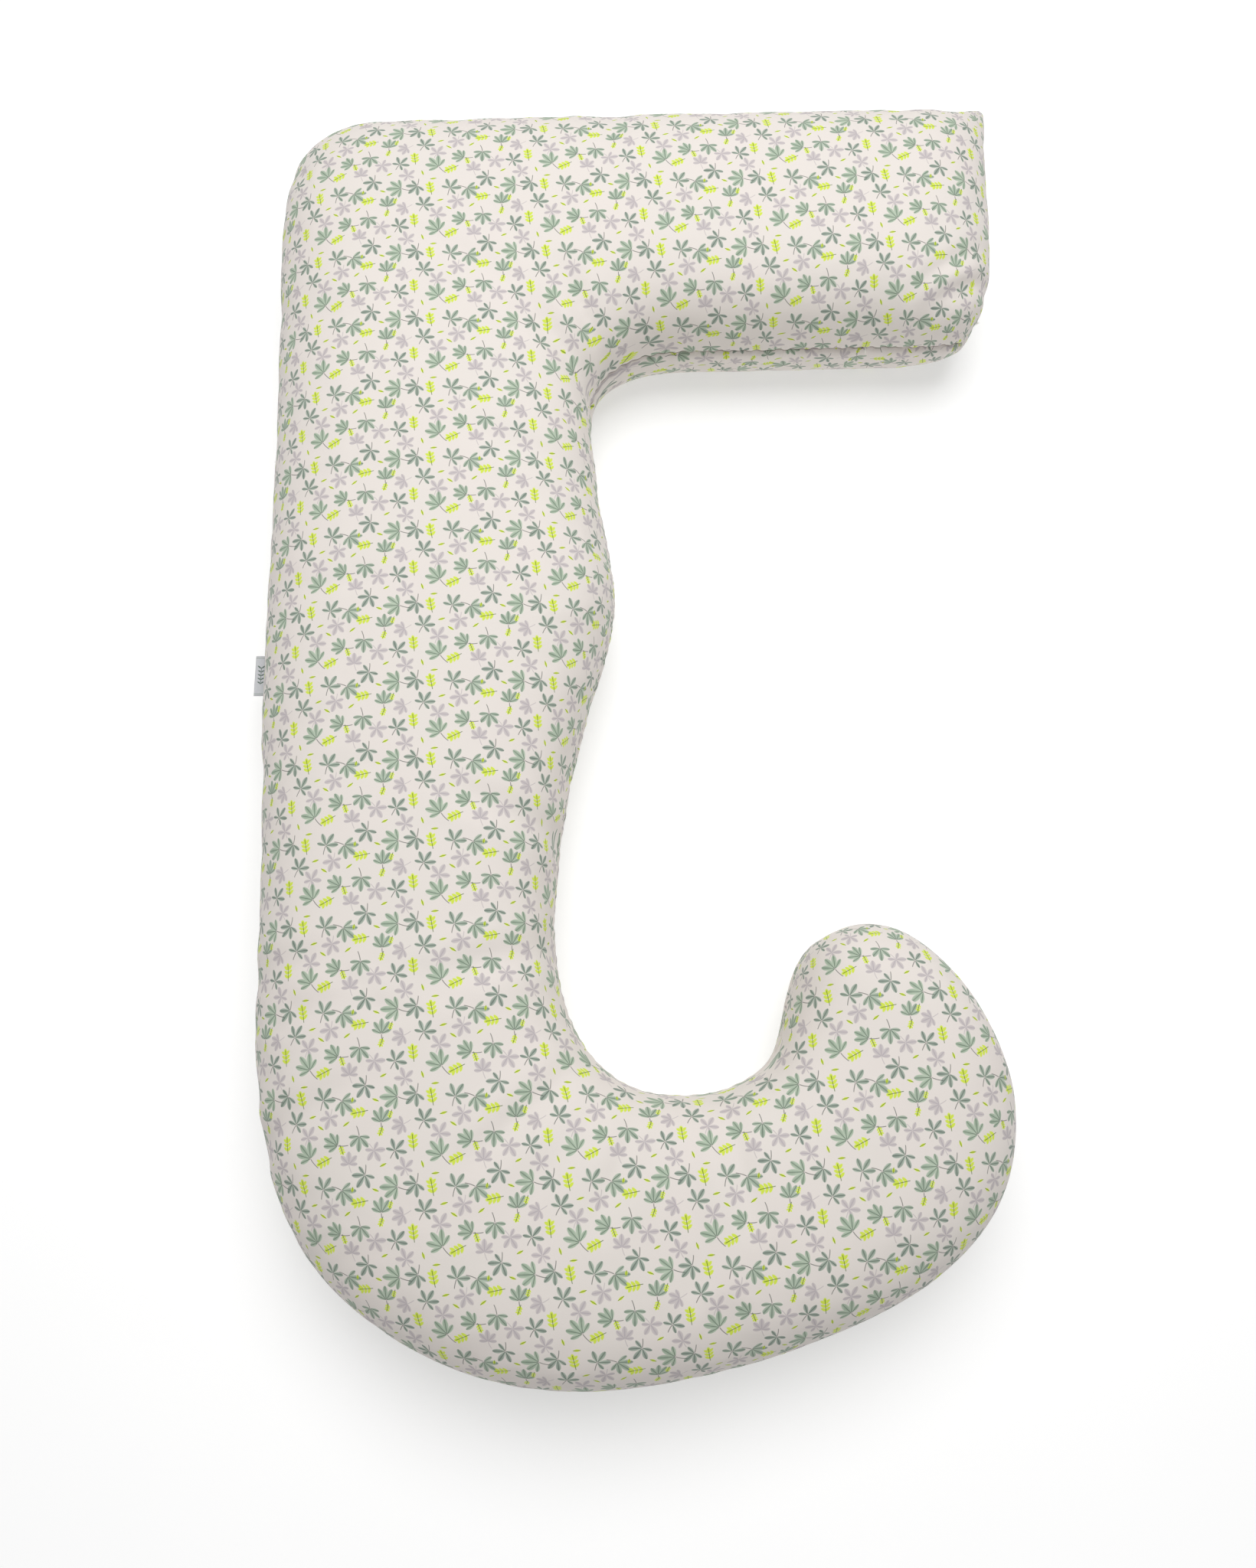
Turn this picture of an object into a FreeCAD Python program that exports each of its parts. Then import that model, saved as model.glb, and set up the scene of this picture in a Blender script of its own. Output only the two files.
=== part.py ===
"""Nursing pillow, about 130 cm x 76 cm x 19 cm, lying flat on its back panel.

X runs to the right across the pillow, Y runs up its long side and Z is its thickness.
The pillow is one stuffed body that follows a C-shaped path: a straight arm at the top,
a long column on the left, a rounded base and a hook that curls up at the lower right.
The seam runs all round at mid-thickness and joins the front panel to the back panel.
A zip closes the cover along the straight top edge.
"""
import math
import os

import FreeCAD
import Part
import Sketcher

Vec = FreeCAD.Vector

doc = FreeCAD.newDocument("nursing_pillow")

# ---------------------------------------------------------------- driving dimensions (mm)
DIMENSIONS = [
    ("arm_half_depth", 98),
    ("column_half_depth", 100),
    ("hook_half_depth", 95),
    ("edge_roundness", 2.9),
    ("end_roll", 105),
    ("flat_cut", 9),
    ("cloth", 0.8),
    ("casing_cloth", 0.8),
    ("casing_gap", 1.5),
    ("layer_gap", 0.4),
    ("zip_room", 5),
    ("zip_middle_x", 40),
    ("zip_middle_y", 636.5),
    ("zip_slope", 1.35),
    ("zip_length", 560),
    ("zip_opening", 10),
    ("tape_width", 11),
    ("tape_thick", 0.6),
    ("tape_apart", 2.1),
    ("tooth_pitch", 3.5),
    ("tooth_depth", 1.6),
    ("tooth_reach", 2.0),
    ("coil_back", 1.2),
    ("stop_long", 3.2),
    ("slider_long", 12),
    ("slider_wide", 8.6),
    ("slider_plate", 1.2),
    ("slider_wall", 1.2),
    ("slider_play", 0.35),
    ("wedge_wide", 1.3),
    ("bail_long", 9),
    ("bail_wide", 2),
    ("bail_high", 3.8),
    ("tab_long", 30),
    ("tab_wide", 7),
    ("tab_thick", 1.2),
    ("tab_eye", 5.9),
    ("label_long", 42),
    ("label_out", 14),
    ("label_thick", 1),
    ("label_middle_y", 16),
    ("care_wide", 30),
    ("care_long", 38),
    ("care_thick", 0.6),
]

sheet = doc.addObject("Spreadsheet::Sheet", "dims")
for row, (name, value) in enumerate(DIMENSIONS, start=1):
    sheet.set("A%d" % row, name)
    sheet.set("B%d" % row, str(value))
    sheet.setAlias("B%d" % row, name)
doc.recompute()


def dim(name):
    return float(getattr(sheet, name))


SEAM_Z = dim("column_half_depth") - dim("flat_cut")
TAPE_FACE = dim("cloth") + dim("layer_gap")
COIL_FACE = dim("tooth_depth") - TAPE_FACE

# ---------------------------------------------------------------- the stuffed body's form


def top_seam_y(x):
    """The seam of the straight top edge, where the zip is."""
    return dim("zip_middle_y") + math.tan(math.radians(dim("zip_slope"))) * (x - dim("zip_middle_x"))


def top_edge(x):
    return (x, top_seam_y(x))


# Each station faces a point of the outer seam with a point of the inner seam. They run from
# the arm's free end along the arm, down the column, round the base and up to the hook's tip.
STATIONS = [
    (top_edge(379), (349, 384)),
    (top_edge(340), (312, 381.5)),
    (top_edge(240), (212, 379.5)),
    (top_edge(120), (110, 376.5)),
    (top_edge(0), (30, 374)),
    (top_edge(-110), (-6, 364)),
    (top_edge(-200), (-27, 350)),
    (top_edge(-262), (-38, 337)),
    ((-313, 628.5), (-44, 322)),
    ((-359, 600), (-47, 306)),
    ((-377, 548), (-48, 287)),
    ((-377, 450), (-46, 255)),
    ((-373, 340), (-41, 214)),
    ((-371, 220), (-33, 163)),
    ((-370, 100), (-22, 88)),
    ((-369, -10), (-42, 4)),
    ((-363, -110), (-67, -98)),
    ((-358, -220), (-80, -215)),
    ((-355, -330), (-72, -300)),
    ((-341, -440), (-45, -357)),
    ((-300, -535), (-8, -387)),
    ((-205, -613), (35, -395.5)),
    ((-80, -649.5), (76, -392)),
    ((50, -638), (108, -378)),
    ((170, -604), (128, -360)),
    ((270, -555), (137, -336)),
    ((333, -487), (142, -313)),
    ((348, -412), (148, -289)),
    ((330, -337), (157, -268)),
    ((297, -284), (169, -254)),
    ((261, -250), (182, -247)),
]


def middle(station):
    (ox, oy), (ix, iy) = station
    return Vec((ox + ix) / 2, (oy + iy) / 2, 0)


def station_distances():
    """Distance of each station from the arm's end, along the middle of the body."""
    distances = [0.0]
    for before, after in zip(STATIONS, STATIONS[1:]):
        distances.append(distances[-1] + (middle(after) - middle(before)).Length)
    return distances


DISTANCES = station_distances()
BODY_LENGTH = DISTANCES[-1]


def rail(side):
    """The outer (side 0) or inner (side 1) seam as a smooth curve over the distance."""
    curve = Part.BSplineCurve()
    points = [Vec(station[side][0], station[side][1], 0) for station in STATIONS]
    curve.interpolate(Points=points, Parameters=DISTANCES)
    return curve


RAILS = (rail(0), rail(1))


def rounded(angle):
    """A point of the unit superellipse that is the body's cross-section: (across, up)."""
    power = dim("edge_roundness")
    across = math.cos(angle)
    up = math.sin(angle)
    size = (abs(across) ** power + abs(up) ** power) ** (1 / power)
    return across / size, up / size


def blend(value, start, end):
    """Smooth step from 0 at start to 1 at end."""
    part = min(max((value - start) / (end - start), 0), 1)
    return part * part * (3 - 2 * part)


def half_depth(distance):
    """Half of the thickness along the body: arm, column, base and hook."""
    depth = dim("arm_half_depth")
    depth += (dim("column_half_depth") - depth) * blend(distance, 350, 650)
    return depth + (dim("hook_half_depth") - depth) * blend(distance, BODY_LENGTH - 600, BODY_LENGTH - 100)


def end_bulge(distance, across):
    """How far the body's two ends bulge past the straight line between their corners."""
    reach = dim("end_roll")
    arm = 30 * across * (1 - across ** 7) * max(1 - distance / reach, 0) ** 2
    tip = 13 * 4 * across * (1 - across) * max(1 - (BODY_LENGTH - distance) / reach, 0) ** 2
    return Vec(arm, tip, 0)


def plan_point(distance, across, inset):
    """Plan position at a distance along the body and a share of the way across it."""
    ends = []
    for side, turn in ((0, 1), (1, -1)):
        point = RAILS[side].value(distance)
        (along,) = RAILS[side].tangent(distance)
        ends.append(point + Vec(-along.y, along.x, 0) * turn * inset)
    return ends[0] * (1 - across) + ends[1] * across + end_bulge(distance, across)


def distance_steps(inset, end_steps=9, body_steps=56):
    """Distances and heights along the body, close together where its ends roll over."""
    roll = dim("end_roll") - inset
    steps = []
    for step in range(end_steps):
        across, up = rounded(math.pi / 2 * step / end_steps)
        steps.append((inset + roll * (1 - across), up))
    clear = BODY_LENGTH - 2 * dim("end_roll")
    body = [(dim("end_roll") + clear * step / body_steps, 1.0) for step in range(body_steps + 1)]
    far_end = [(BODY_LENGTH - distance, up) for distance, up in reversed(steps)]
    return steps + body + far_end


def crest_lengths(inset):
    """Length along the crest of the body from its free end to each of the rows."""
    rows = distance_steps(inset)
    lengths = [0.0]
    for (start, low), (end, high) in zip(rows, rows[1:]):
        rise = (high - low) * dim("column_half_depth")
        lengths.append(lengths[-1] + math.hypot(end - start, rise))
    return lengths


def zip_relief(point, inset):
    """The layers inside the cover lie a little lower behind the zip."""
    if inset <= dim("cloth"):
        return point
    rise = max(point.y - (top_seam_y(point.x) - 80), 0) / 80
    return point - Vec(0, dim("zip_room") * rise * rise, 0)


def knots(steps):
    """Knots and their repeats for a cubic curve whose poles lie at these steps."""
    chosen = [steps[0]] + steps[2:-2] + [steps[-1]]
    return chosen, [4] + [1] * (len(chosen) - 2) + [4]


def even_shares(steps):
    """Shares of the way along a straight line that give the cubic curve an even speed."""
    chosen, repeats = knots(steps)
    every = [knot for knot, times in zip(chosen, repeats) for _ in range(times)]
    return [sum(every[step + 1:step + 4]) / 3 / steps[-1] for step in range(len(steps))]


SECTION_STEPS = [float(step) for step in range(27)]
EVEN_SHARES = even_shares(SECTION_STEPS)


def form_grid(inset):
    """Rows of points over the front half of the body, inset from the outer surface."""
    rows = []
    for distance, end_height in distance_steps(inset):
        depth = half_depth(distance) - inset
        line = []
        for step, even in zip(SECTION_STEPS, EVEN_SHARES):
            across, up = rounded(math.pi * step / SECTION_STEPS[-1])
            share = (1 - across) / 2 if end_height else even
            point = zip_relief(plan_point(distance, share, inset), inset)
            if step in (0, SECTION_STEPS[-1]):
                up = 0
            line.append(point + Vec(0, 0, SEAM_Z + depth * up * end_height))
        rows.append(line)
    return rows


def front_skin(inset):
    """The smooth surface over the front half of the body, in strips that run across it."""
    grid = form_grid(inset)
    along_knots, along_repeats = knots(crest_lengths(inset))
    across_knots, across_repeats = knots(SECTION_STEPS)
    surface = Part.BSplineSurface()
    surface.buildFromPolesMultsKnots(
        grid, along_repeats, across_repeats, along_knots, across_knots, False, False, 3, 3
    )
    strips = []
    for start, end in zip(along_knots, along_knots[1:]):
        strip = surface.copy()
        strip.segment(start, end, across_knots[0], across_knots[-1])
        strips.append(strip.toShape())
    return strips


def on_seam(edge):
    """Whether a strip's edge lies in the plane of the seam."""
    middle = (edge.FirstParameter + edge.LastParameter) / 2
    return abs(edge.valueAt(middle).z - SEAM_Z) < 0.001


def seam_face(inset):
    """The flat face that the seam bounds."""
    edges = [edge for strip in front_skin(inset) for edge in strip.Edges if on_seam(edge)]
    seam = Part.sortEdges([edge.Curve.toShape() for edge in edges])[0]
    return Part.Face(Part.Wire(seam))


def back_skin(inset):
    """The front skin mirrored at the seam, with a flat patch to lie on."""
    back = [strip.mirror(Vec(0, 0, SEAM_Z), Vec(0, 0, 1)) for strip in front_skin(inset)]
    lid = seam_face(inset)
    below = Part.makeBox(1000, 1600, 50, Vec(-500, -800, inset - 50))
    closed = closed_solid(back + [lid]).cut(below)
    return [face for face in closed.Faces if face.CenterOfMass.z < SEAM_Z - 1]


def signed_volume(shape):
    """Volume enclosed by the surface; negative if the shape is inside out."""
    points, triangles = shape.tessellate(1.0)
    return sum(points[a].dot(points[b].cross(points[c])) for a, b, c in triangles) / 6


def closed_solid(faces):
    """One solid, right side out, from faces that meet edge to edge."""
    shell = Part.Shell(faces)
    shell.sewShape()
    solid = Part.Solid(shell)
    if signed_volume(solid) < 0:
        solid.reverse()
    return solid


def cloth_panel(skin, inset, thickness):
    """One panel of cloth on the front or the back of the body, with a flat rim at the seam."""
    rim = seam_face(inset).cut(seam_face(inset + thickness))
    return closed_solid(skin(inset) + skin(inset + thickness) + rim.Faces)


# ---------------------------------------------------------------- small helpers

ZIP_FRAME = FreeCAD.Placement(
    Vec(dim("zip_middle_x"), dim("zip_middle_y"), SEAM_Z),
    FreeCAD.Rotation(Vec(0, 0, 1), dim("zip_slope")),
)


def feature(label, shape):
    item = doc.addObject("Part::Feature", label)
    item.Label = label
    item.Shape = shape
    return item


def bind(item, **expressions):
    """Ties properties to sheet expressions; base=(x, y, z) ties the placement."""
    base = expressions.pop("base", None)
    for prop, expression in expressions.items():
        item.setExpression(prop, expression)
    if base:
        for axis, expression in zip("xyz", base):
            item.setExpression("Placement.Base.%s" % axis, expression)
    return item


def box(name, length, width, height, base):
    """A block in the zip's own frame: X along the zip, Y outward and Z across it."""
    item = doc.addObject("Part::Box", name)
    return bind(item, Length=length, Width=width, Height=height, base=base)


def joined(label, pieces):
    item = doc.addObject("Part::MultiFuse", label)
    item.Shapes = pieces
    item.Label = label
    item.Refine = True
    return item


def grouped(label, pieces):
    """One node from pieces that stay separate solids."""
    item = doc.addObject("Part::Compound", label)
    item.Links = pieces
    item.Label = label
    return item


def on_zip(item):
    """Puts a finished piece from the zip's own frame into the pillow's frame."""
    item.Placement = ZIP_FRAME.multiply(item.Placement)
    return item


# Shared expressions, in the zip's own frame.
TAPE_FRONT_FACE = "-(dims.cloth + dims.layer_gap)"
TAPE_REAR_FACE = "-(dims.cloth + dims.layer_gap + dims.tape_thick)"
COIL_TOP = "(dims.tooth_depth - dims.cloth - dims.layer_gap)"
PLATE_FACE = "(%s + dims.slider_play)" % COIL_TOP
PLATE_TOP = "(%s + dims.slider_plate)" % PLATE_FACE
REST_X = "(dims.zip_length / 2 - 0.3 - dims.slider_long / 2)"


# ---------------------------------------------------------------- cover, casing and filling


def zip_opening():
    """The slot that the zip fills, in the cover's seam."""
    length = dim("zip_length") + 2 * dim("stop_long") + 8
    height = dim("zip_opening")
    slot = Part.makeBox(length, 12, height, Vec(-length / 2, -4, -height / 2))
    slot.Placement = ZIP_FRAME
    return slot


def cover():
    panels = []
    for label, skin in (("cover_front_panel", front_skin), ("cover_back_panel", back_skin)):
        panel = cloth_panel(skin, 0, dim("cloth")).cut(zip_opening())
        panels.append(feature(label, panel))
    return panels


def inner_casing():
    inset = dim("cloth") + dim("casing_gap")
    panels = []
    for label, skin in (("inner_casing_front", front_skin), ("inner_casing_back", back_skin)):
        panels.append(feature(label, cloth_panel(skin, inset, dim("casing_cloth"))))
    return panels


def fibre_fill():
    inset = dim("cloth") + dim("casing_cloth") + 2 * dim("casing_gap")
    return [feature("fibre_fill", closed_solid(front_skin(inset) + back_skin(inset)))]


# ---------------------------------------------------------------- zip


def zip_tapes():
    tapes = []
    for label, base_z in (
        ("zip_tape_front", "dims.tape_apart / 2"),
        ("zip_tape_back", "-dims.tape_apart / 2 - dims.tape_width"),
    ):
        length = "dims.zip_length + 2 * dims.stop_long + 6"
        base = ("-(%s) / 2" % length, TAPE_REAR_FACE, base_z)
        tape = box(label + "_strip", length, "dims.tape_thick", "dims.tape_width", base)
        tapes.append(on_zip(grouped(label, [tape])))
    return tapes


def rectangle(sketch, left, low, right, high):
    """A rectangle whose four sides are tied to sheet expressions."""
    corners = [Vec(0, 0, 0), Vec(1, 0, 0), Vec(1, 1, 0), Vec(0, 1, 0)]
    for start, end in zip(corners, corners[1:] + corners[:1]):
        sketch.addGeometry(Part.LineSegment(start, end))
    for line in range(4):
        sketch.addConstraint(Sketcher.Constraint("Coincident", line, 2, (line + 1) % 4, 1))
    for line, kind in enumerate(("Horizontal", "Vertical", "Horizontal", "Vertical")):
        sketch.addConstraint(Sketcher.Constraint(kind, line))
    for kind, line, expression in (
        ("DistanceX", 0, left),
        ("DistanceY", 0, low),
        ("DistanceX", 2, right),
        ("DistanceY", 2, high),
    ):
        index = sketch.addConstraint(Sketcher.Constraint(kind, -1, 1, line, 1, 1.0))
        sketch.setExpression("Constraints[%d]" % index, expression)


def padded_body(label, sides, depth):
    """A body with one rectangular pad, from its sketch plane towards +Y."""
    body = doc.addObject("PartDesign::Body", label)
    body.Label = label
    add_pad(body, label + "_outline", sides, depth)
    return body


def body_sketch(body, name, sides):
    """A rectangle in the body's XZ plane."""
    sketch = body.newObject("Sketcher::SketchObject", name)
    (origin_plane,) = [item for item in body.Origin.OriginFeatures if item.Role == "XZ_Plane"]
    sketch.AttachmentSupport = (origin_plane, [""])
    sketch.MapMode = "FlatFace"
    rectangle(sketch, *sides)
    return sketch


def add_pad(body, name, sides, depth):
    sketch = body_sketch(body, name, sides)
    pad = body.newObject("PartDesign::Pad", name + "_pad")
    pad.Profile = sketch
    pad.Reversed = True
    pad.setExpression("Length", depth)
    return pad


def coil_row(label, side, first_tooth):
    """One row of teeth on its cord; side is 1 for the front row and -1 for the back row."""
    root = "(dims.tooth_reach * 0.75)"
    back = "(%s + dims.coil_back)" % root
    tip = "(%s - dims.tooth_reach)" % root
    heights = (root, back) if side > 0 else ("-" + back, "-" + root)
    teeth = (tip, root + " + 0.2") if side > 0 else ("-(%s + 0.2)" % root, "-" + tip)
    cord = ("-dims.zip_length / 2", heights[0], "dims.zip_length / 2", heights[1])
    body = padded_body(label, cord, "dims.tooth_depth")
    doc.recompute()
    start = "(-dims.zip_length / 2 + %s)" % first_tooth
    tooth = (start, teeth[0], start + " + dims.tooth_pitch * 0.4", teeth[1])
    pad = add_pad(body, label + "_tooth", tooth, "dims.tooth_depth")
    row = body.newObject("PartDesign::LinearPattern", label + "_row")
    row.Originals = [pad]
    row.Direction = (pad.Profile[0], ["H_Axis"])
    row.setExpression("Occurrences", "floor((dims.zip_length - 5) / dims.tooth_pitch)")
    row.setExpression("Length", "dims.tooth_pitch * (floor((dims.zip_length - 5) / dims.tooth_pitch) - 1)")
    body.Tip = row
    body.Placement = FreeCAD.Placement(Vec(0, -TAPE_FACE, 0), FreeCAD.Rotation())
    return on_zip(body)


def zip_coils():
    return [
        coil_row("zip_coil_front", 1, "2"),
        coil_row("zip_coil_back", -1, "2 + dims.tooth_pitch / 2"),
    ]


def filleted(item, name, radius, chosen):
    """Rounds the chosen edges of a piece."""
    doc.recompute()
    rounded_item = doc.addObject("Part::Fillet", name)
    rounded_item.Base = item
    numbers = [i + 1 for i, edge in enumerate(item.Shape.Edges) if chosen(edge)]
    rounded_item.Edges = [(number, radius, radius) for number in numbers]
    return rounded_item


def runs_outward(edge):
    """True for an edge that runs along Y."""
    ends = [vertex.Point for vertex in edge.Vertexes]
    return abs(abs(ends[1].y - ends[0].y) - edge.Length) < 1e-6


def slider_plate(name, base_y):
    base = (REST_X + " - dims.slider_long / 2", base_y, "-dims.slider_wide / 2")
    plate = box(name, "dims.slider_long", "dims.slider_plate", "dims.slider_wide", base)
    return filleted(plate, name + "_rounded", 2.2, runs_outward)


def slider_walls():
    """The two flanges that run down beside the teeth, as far as the tape."""
    low = "(%s + dims.slider_play)" % TAPE_FRONT_FACE
    inside = "(dims.slider_wide / 2 - dims.slider_wall)"
    walls = []
    for name, base_z in (("slider_wall_front", inside), ("slider_wall_back", "-dims.slider_wide / 2")):
        base = (REST_X + " - dims.slider_long / 2 + 2.2", low, base_z)
        depth = "%s - %s" % (PLATE_FACE, low)
        walls.append(box(name, "dims.slider_long - 4.4", depth, "dims.slider_wall", base))
    return walls


def slider_wedge():
    """The post that parts the rows, between the two tapes at the slider's wide end."""
    low = "(%s - dims.slider_play)" % TAPE_REAR_FACE
    base = (REST_X + " + dims.slider_long / 6", low, "-dims.wedge_wide / 2")
    return box("slider_wedge", "dims.slider_long / 3", "%s - %s" % (PLATE_FACE, low), "dims.wedge_wide", base)


def slider_bail():
    """The arch on the slider that holds the pull tab."""
    base = (REST_X + " - dims.bail_long / 2", PLATE_TOP, "-dims.bail_wide / 2")
    arch = box("bail_block", "dims.bail_long", "dims.bail_high", "dims.bail_wide", base)
    hole_base = (REST_X + " - dims.bail_long / 2 + 1.2", PLATE_TOP, "-dims.bail_wide")
    hole = box("bail_hole", "dims.bail_long - 2.4", "dims.bail_high - 1.2", "dims.bail_wide * 2", hole_base)
    bail = doc.addObject("Part::Cut", "bail")
    bail.Base = arch
    bail.Tool = hole
    top = dim("bail_high")

    def outer_corner(edge):
        height = edge.CenterOfMass.y - COIL_FACE - dim("slider_play") - dim("slider_plate")
        return abs(height - top) < 0.01 and abs(edge.Length - dim("bail_wide")) < 0.01

    return filleted(bail, "bail_rounded", 1.0, outer_corner)


def zip_slider():
    plates = [
        slider_plate("slider_top_plate", PLATE_FACE),
        slider_plate("slider_rear_plate", "%s - dims.slider_play - dims.slider_plate" % TAPE_REAR_FACE),
    ]
    return [on_zip(joined("zip_slider", plates + slider_walls() + [slider_wedge(), slider_bail()]))]


def zip_pull_tab():
    """The pull lies back over the closed teeth, with its end bar through the bail."""
    bar = "dims.tab_thick / 2"
    outline = ("-dims.tab_long + %s" % bar, "-dims.tab_wide / 2", bar, "dims.tab_wide / 2")
    body = padded_body("zip_pull_tab", outline, "dims.tab_thick")
    doc.recompute()
    eye = ("-dims.tab_eye - %s" % bar, "-dims.bail_wide / 2 - 0.5", "-(%s)" % bar, "dims.bail_wide / 2 + 0.5")
    grip = ("-dims.tab_long + 3.6", "-1.2", "-dims.tab_long + 12.6", "1.2")
    for name, sides in (("tab_eye", eye), ("tab_grip", grip)):
        pocket = body.newObject("PartDesign::Pocket", name + "_pocket")
        pocket.Profile = body_sketch(body, name, sides)
        pocket.Type = "ThroughAll"
        pocket.Midplane = True
    doc.recompute()
    far_corners = [
        "Edge%d" % (i + 1)
        for i, edge in enumerate(body.Shape.Edges)
        if runs_outward(edge) and edge.CenterOfMass.x < -dim("tab_long") + 1
    ]
    fillet = body.newObject("PartDesign::Fillet", "tab_end")
    fillet.Base = (body.Tip, far_corners)
    fillet.Radius = 3.0
    height = COIL_FACE + dim("slider_play") + dim("slider_plate") + 0.7
    rest_x = dim("zip_length") / 2 - 0.3 - dim("slider_long") / 2
    body.Placement = FreeCAD.Placement(Vec(rest_x, height, 0), FreeCAD.Rotation())
    return [on_zip(body)]


def zip_stops():
    """Two small stops at the closed end, one on each row, and one across the open end."""
    tops = []
    for name, base_z in (("top_stop_a", "1.1"), ("top_stop_b", "-1.1 - dims.coil_back - 0.6")):
        base = ("dims.zip_length / 2 + 0.3", TAPE_FRONT_FACE, base_z)
        tops.append(box(name, "dims.stop_long", "dims.tooth_depth", "dims.coil_back + 0.6", base))
    pair = grouped("zip_top_stops", tops)
    base = ("-dims.zip_length / 2 - 0.3 - dims.stop_long", TAPE_FRONT_FACE, "-dims.slider_wide / 3")
    foot = box("bottom_stop", "dims.stop_long", "dims.tooth_depth", "dims.slider_wide * 2 / 3", base)
    return [on_zip(pair), on_zip(grouped("zip_bottom_stop", [foot]))]


# ---------------------------------------------------------------- labels


def nearest_outer_x(y):
    """X of the outer seam's long left side at a height y."""
    low, high = DISTANCES[12], DISTANCES[18]
    for _ in range(40):
        half = (low + high) / 2
        if RAILS[0].value(half).y > y:
            low = half
        else:
            high = half
    return RAILS[0].value(low).x


def side_label():
    """A folded label in the long side's seam, free to swing about the seam."""
    sides = ("-dims.label_out", "-dims.label_thick / 2", "0", "dims.label_thick / 2")
    body = padded_body("side_label", sides, "dims.label_long")
    doc.recompute()
    ends = [
        "Edge%d" % (i + 1) for i, edge in enumerate(body.Shape.Edges) if runs_outward(edge)
    ]
    fillet = body.newObject("PartDesign::Fillet", "label_fold")
    fillet.Base = (body.Tip, ends)
    fillet.Radius = dim("label_thick") / 2 - 0.02
    middle_y = dim("label_middle_y")
    root_x = nearest_outer_x(middle_y) - dim("layer_gap")
    body.Placement = FreeCAD.Placement(Vec(root_x, middle_y - dim("label_long") / 2, SEAM_Z), FreeCAD.Rotation())
    return [body]


def care_label():
    """The care label hangs inside the cover, behind the open end of the zip."""
    base = ("-dims.zip_length / 2 - 4", "-4.6", "-dims.care_long + 8")
    label = box("care_label_sheet", "dims.care_wide", "dims.care_thick", "dims.care_long", base)
    return [on_zip(grouped("care_label", [label]))]


# ---------------------------------------------------------------- build, check and export


def check(item):
    """Stops the build if an object or its shape is not sound."""
    if "Invalid" in item.State or "Error" in item.State:
        raise RuntimeError("%s did not recompute: %s" % (item.Label, item.State))
    if item.Shape.isNull() or not item.Shape.isValid() or not item.Shape.Solids:
        raise RuntimeError("%s has no valid solid" % item.Label)


def build():
    nodes = cover() + inner_casing() + fibre_fill()
    nodes += zip_tapes() + zip_coils() + zip_slider() + zip_pull_tab() + zip_stops()
    nodes += side_label() + care_label()
    doc.recompute()
    for item in nodes:
        check(item)
    return nodes


def centre(nodes):
    """Moves the pillow so that the origin is on the floor, in the middle of its bounding box."""
    points = [point for item in nodes for point in item.Shape.tessellate(0.2)[0]]
    middle_x = (min(point.x for point in points) + max(point.x for point in points)) / 2
    middle_y = (min(point.y for point in points) + max(point.y for point in points)) / 2
    for item in nodes:
        placement = item.Placement
        placement.Base -= Vec(middle_x, middle_y, 0)
        item.Placement = placement
    print("moved by %.4f %.4f" % (-middle_x, -middle_y))
    return nodes


def export(nodes):
    os.makedirs("parts", exist_ok=True)
    for item in nodes:
        item.Shape.exportStep("parts/%s.step" % item.Label)
        bounds = item.Shape.BoundBox
        print(
            "%-20s solids %d volume %.0f  x %.1f..%.1f  y %.1f..%.1f  z %.1f..%.1f"
            % (
                item.Label, len(item.Shape.Solids), item.Shape.Volume,
                bounds.XMin, bounds.XMax, bounds.YMin, bounds.YMax, bounds.ZMin, bounds.ZMax,
            )
        )


export(centre(build()))
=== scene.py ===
"""A long C-shaped nursing pillow: a stuffed body in a leaf-printed cotton cover, with a zip and labels."""

import math

import bmesh
import bpy
import numpy as np
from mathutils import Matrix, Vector
from mathutils.bvhtree import BVHTree
from mathutils.kdtree import KDTree


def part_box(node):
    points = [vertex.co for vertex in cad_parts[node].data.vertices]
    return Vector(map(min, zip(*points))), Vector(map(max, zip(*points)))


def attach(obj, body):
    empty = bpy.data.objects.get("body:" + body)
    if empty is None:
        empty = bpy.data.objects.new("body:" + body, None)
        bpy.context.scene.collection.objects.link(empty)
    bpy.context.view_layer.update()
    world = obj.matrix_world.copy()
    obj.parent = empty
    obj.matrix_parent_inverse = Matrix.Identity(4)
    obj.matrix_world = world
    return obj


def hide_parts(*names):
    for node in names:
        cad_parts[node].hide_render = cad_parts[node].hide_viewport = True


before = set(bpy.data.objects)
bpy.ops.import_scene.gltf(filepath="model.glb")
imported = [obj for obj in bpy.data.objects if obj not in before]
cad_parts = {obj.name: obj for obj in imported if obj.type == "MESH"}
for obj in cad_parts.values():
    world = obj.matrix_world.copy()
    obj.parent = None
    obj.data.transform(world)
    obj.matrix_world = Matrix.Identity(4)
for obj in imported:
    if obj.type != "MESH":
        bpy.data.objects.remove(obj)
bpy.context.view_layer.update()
MM = 0.001

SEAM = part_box("cover_front_panel")[0].z
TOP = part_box("cover_front_panel")[1].z
# The body's even mesh, and the blowing up: how far inside it the cloth starts, how far a crease may
# move, how much larger than the body the cloth is cut, and how much of its creases is kept.
VOXEL = 7 * MM
SHRINK = 3 * MM
SWELL_CAP = 4 * MM
EXCESS = 0.01
CREASE_SHARE = 0.7
SMOOTH_PASSES = 60
SWELL_FRAMES = 20
CORNER_REACH = 95 * MM
CORNER_HEIGHT = 90 * MM
CORNER_PUSH = (9 * MM, 22 * MM)
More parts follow.
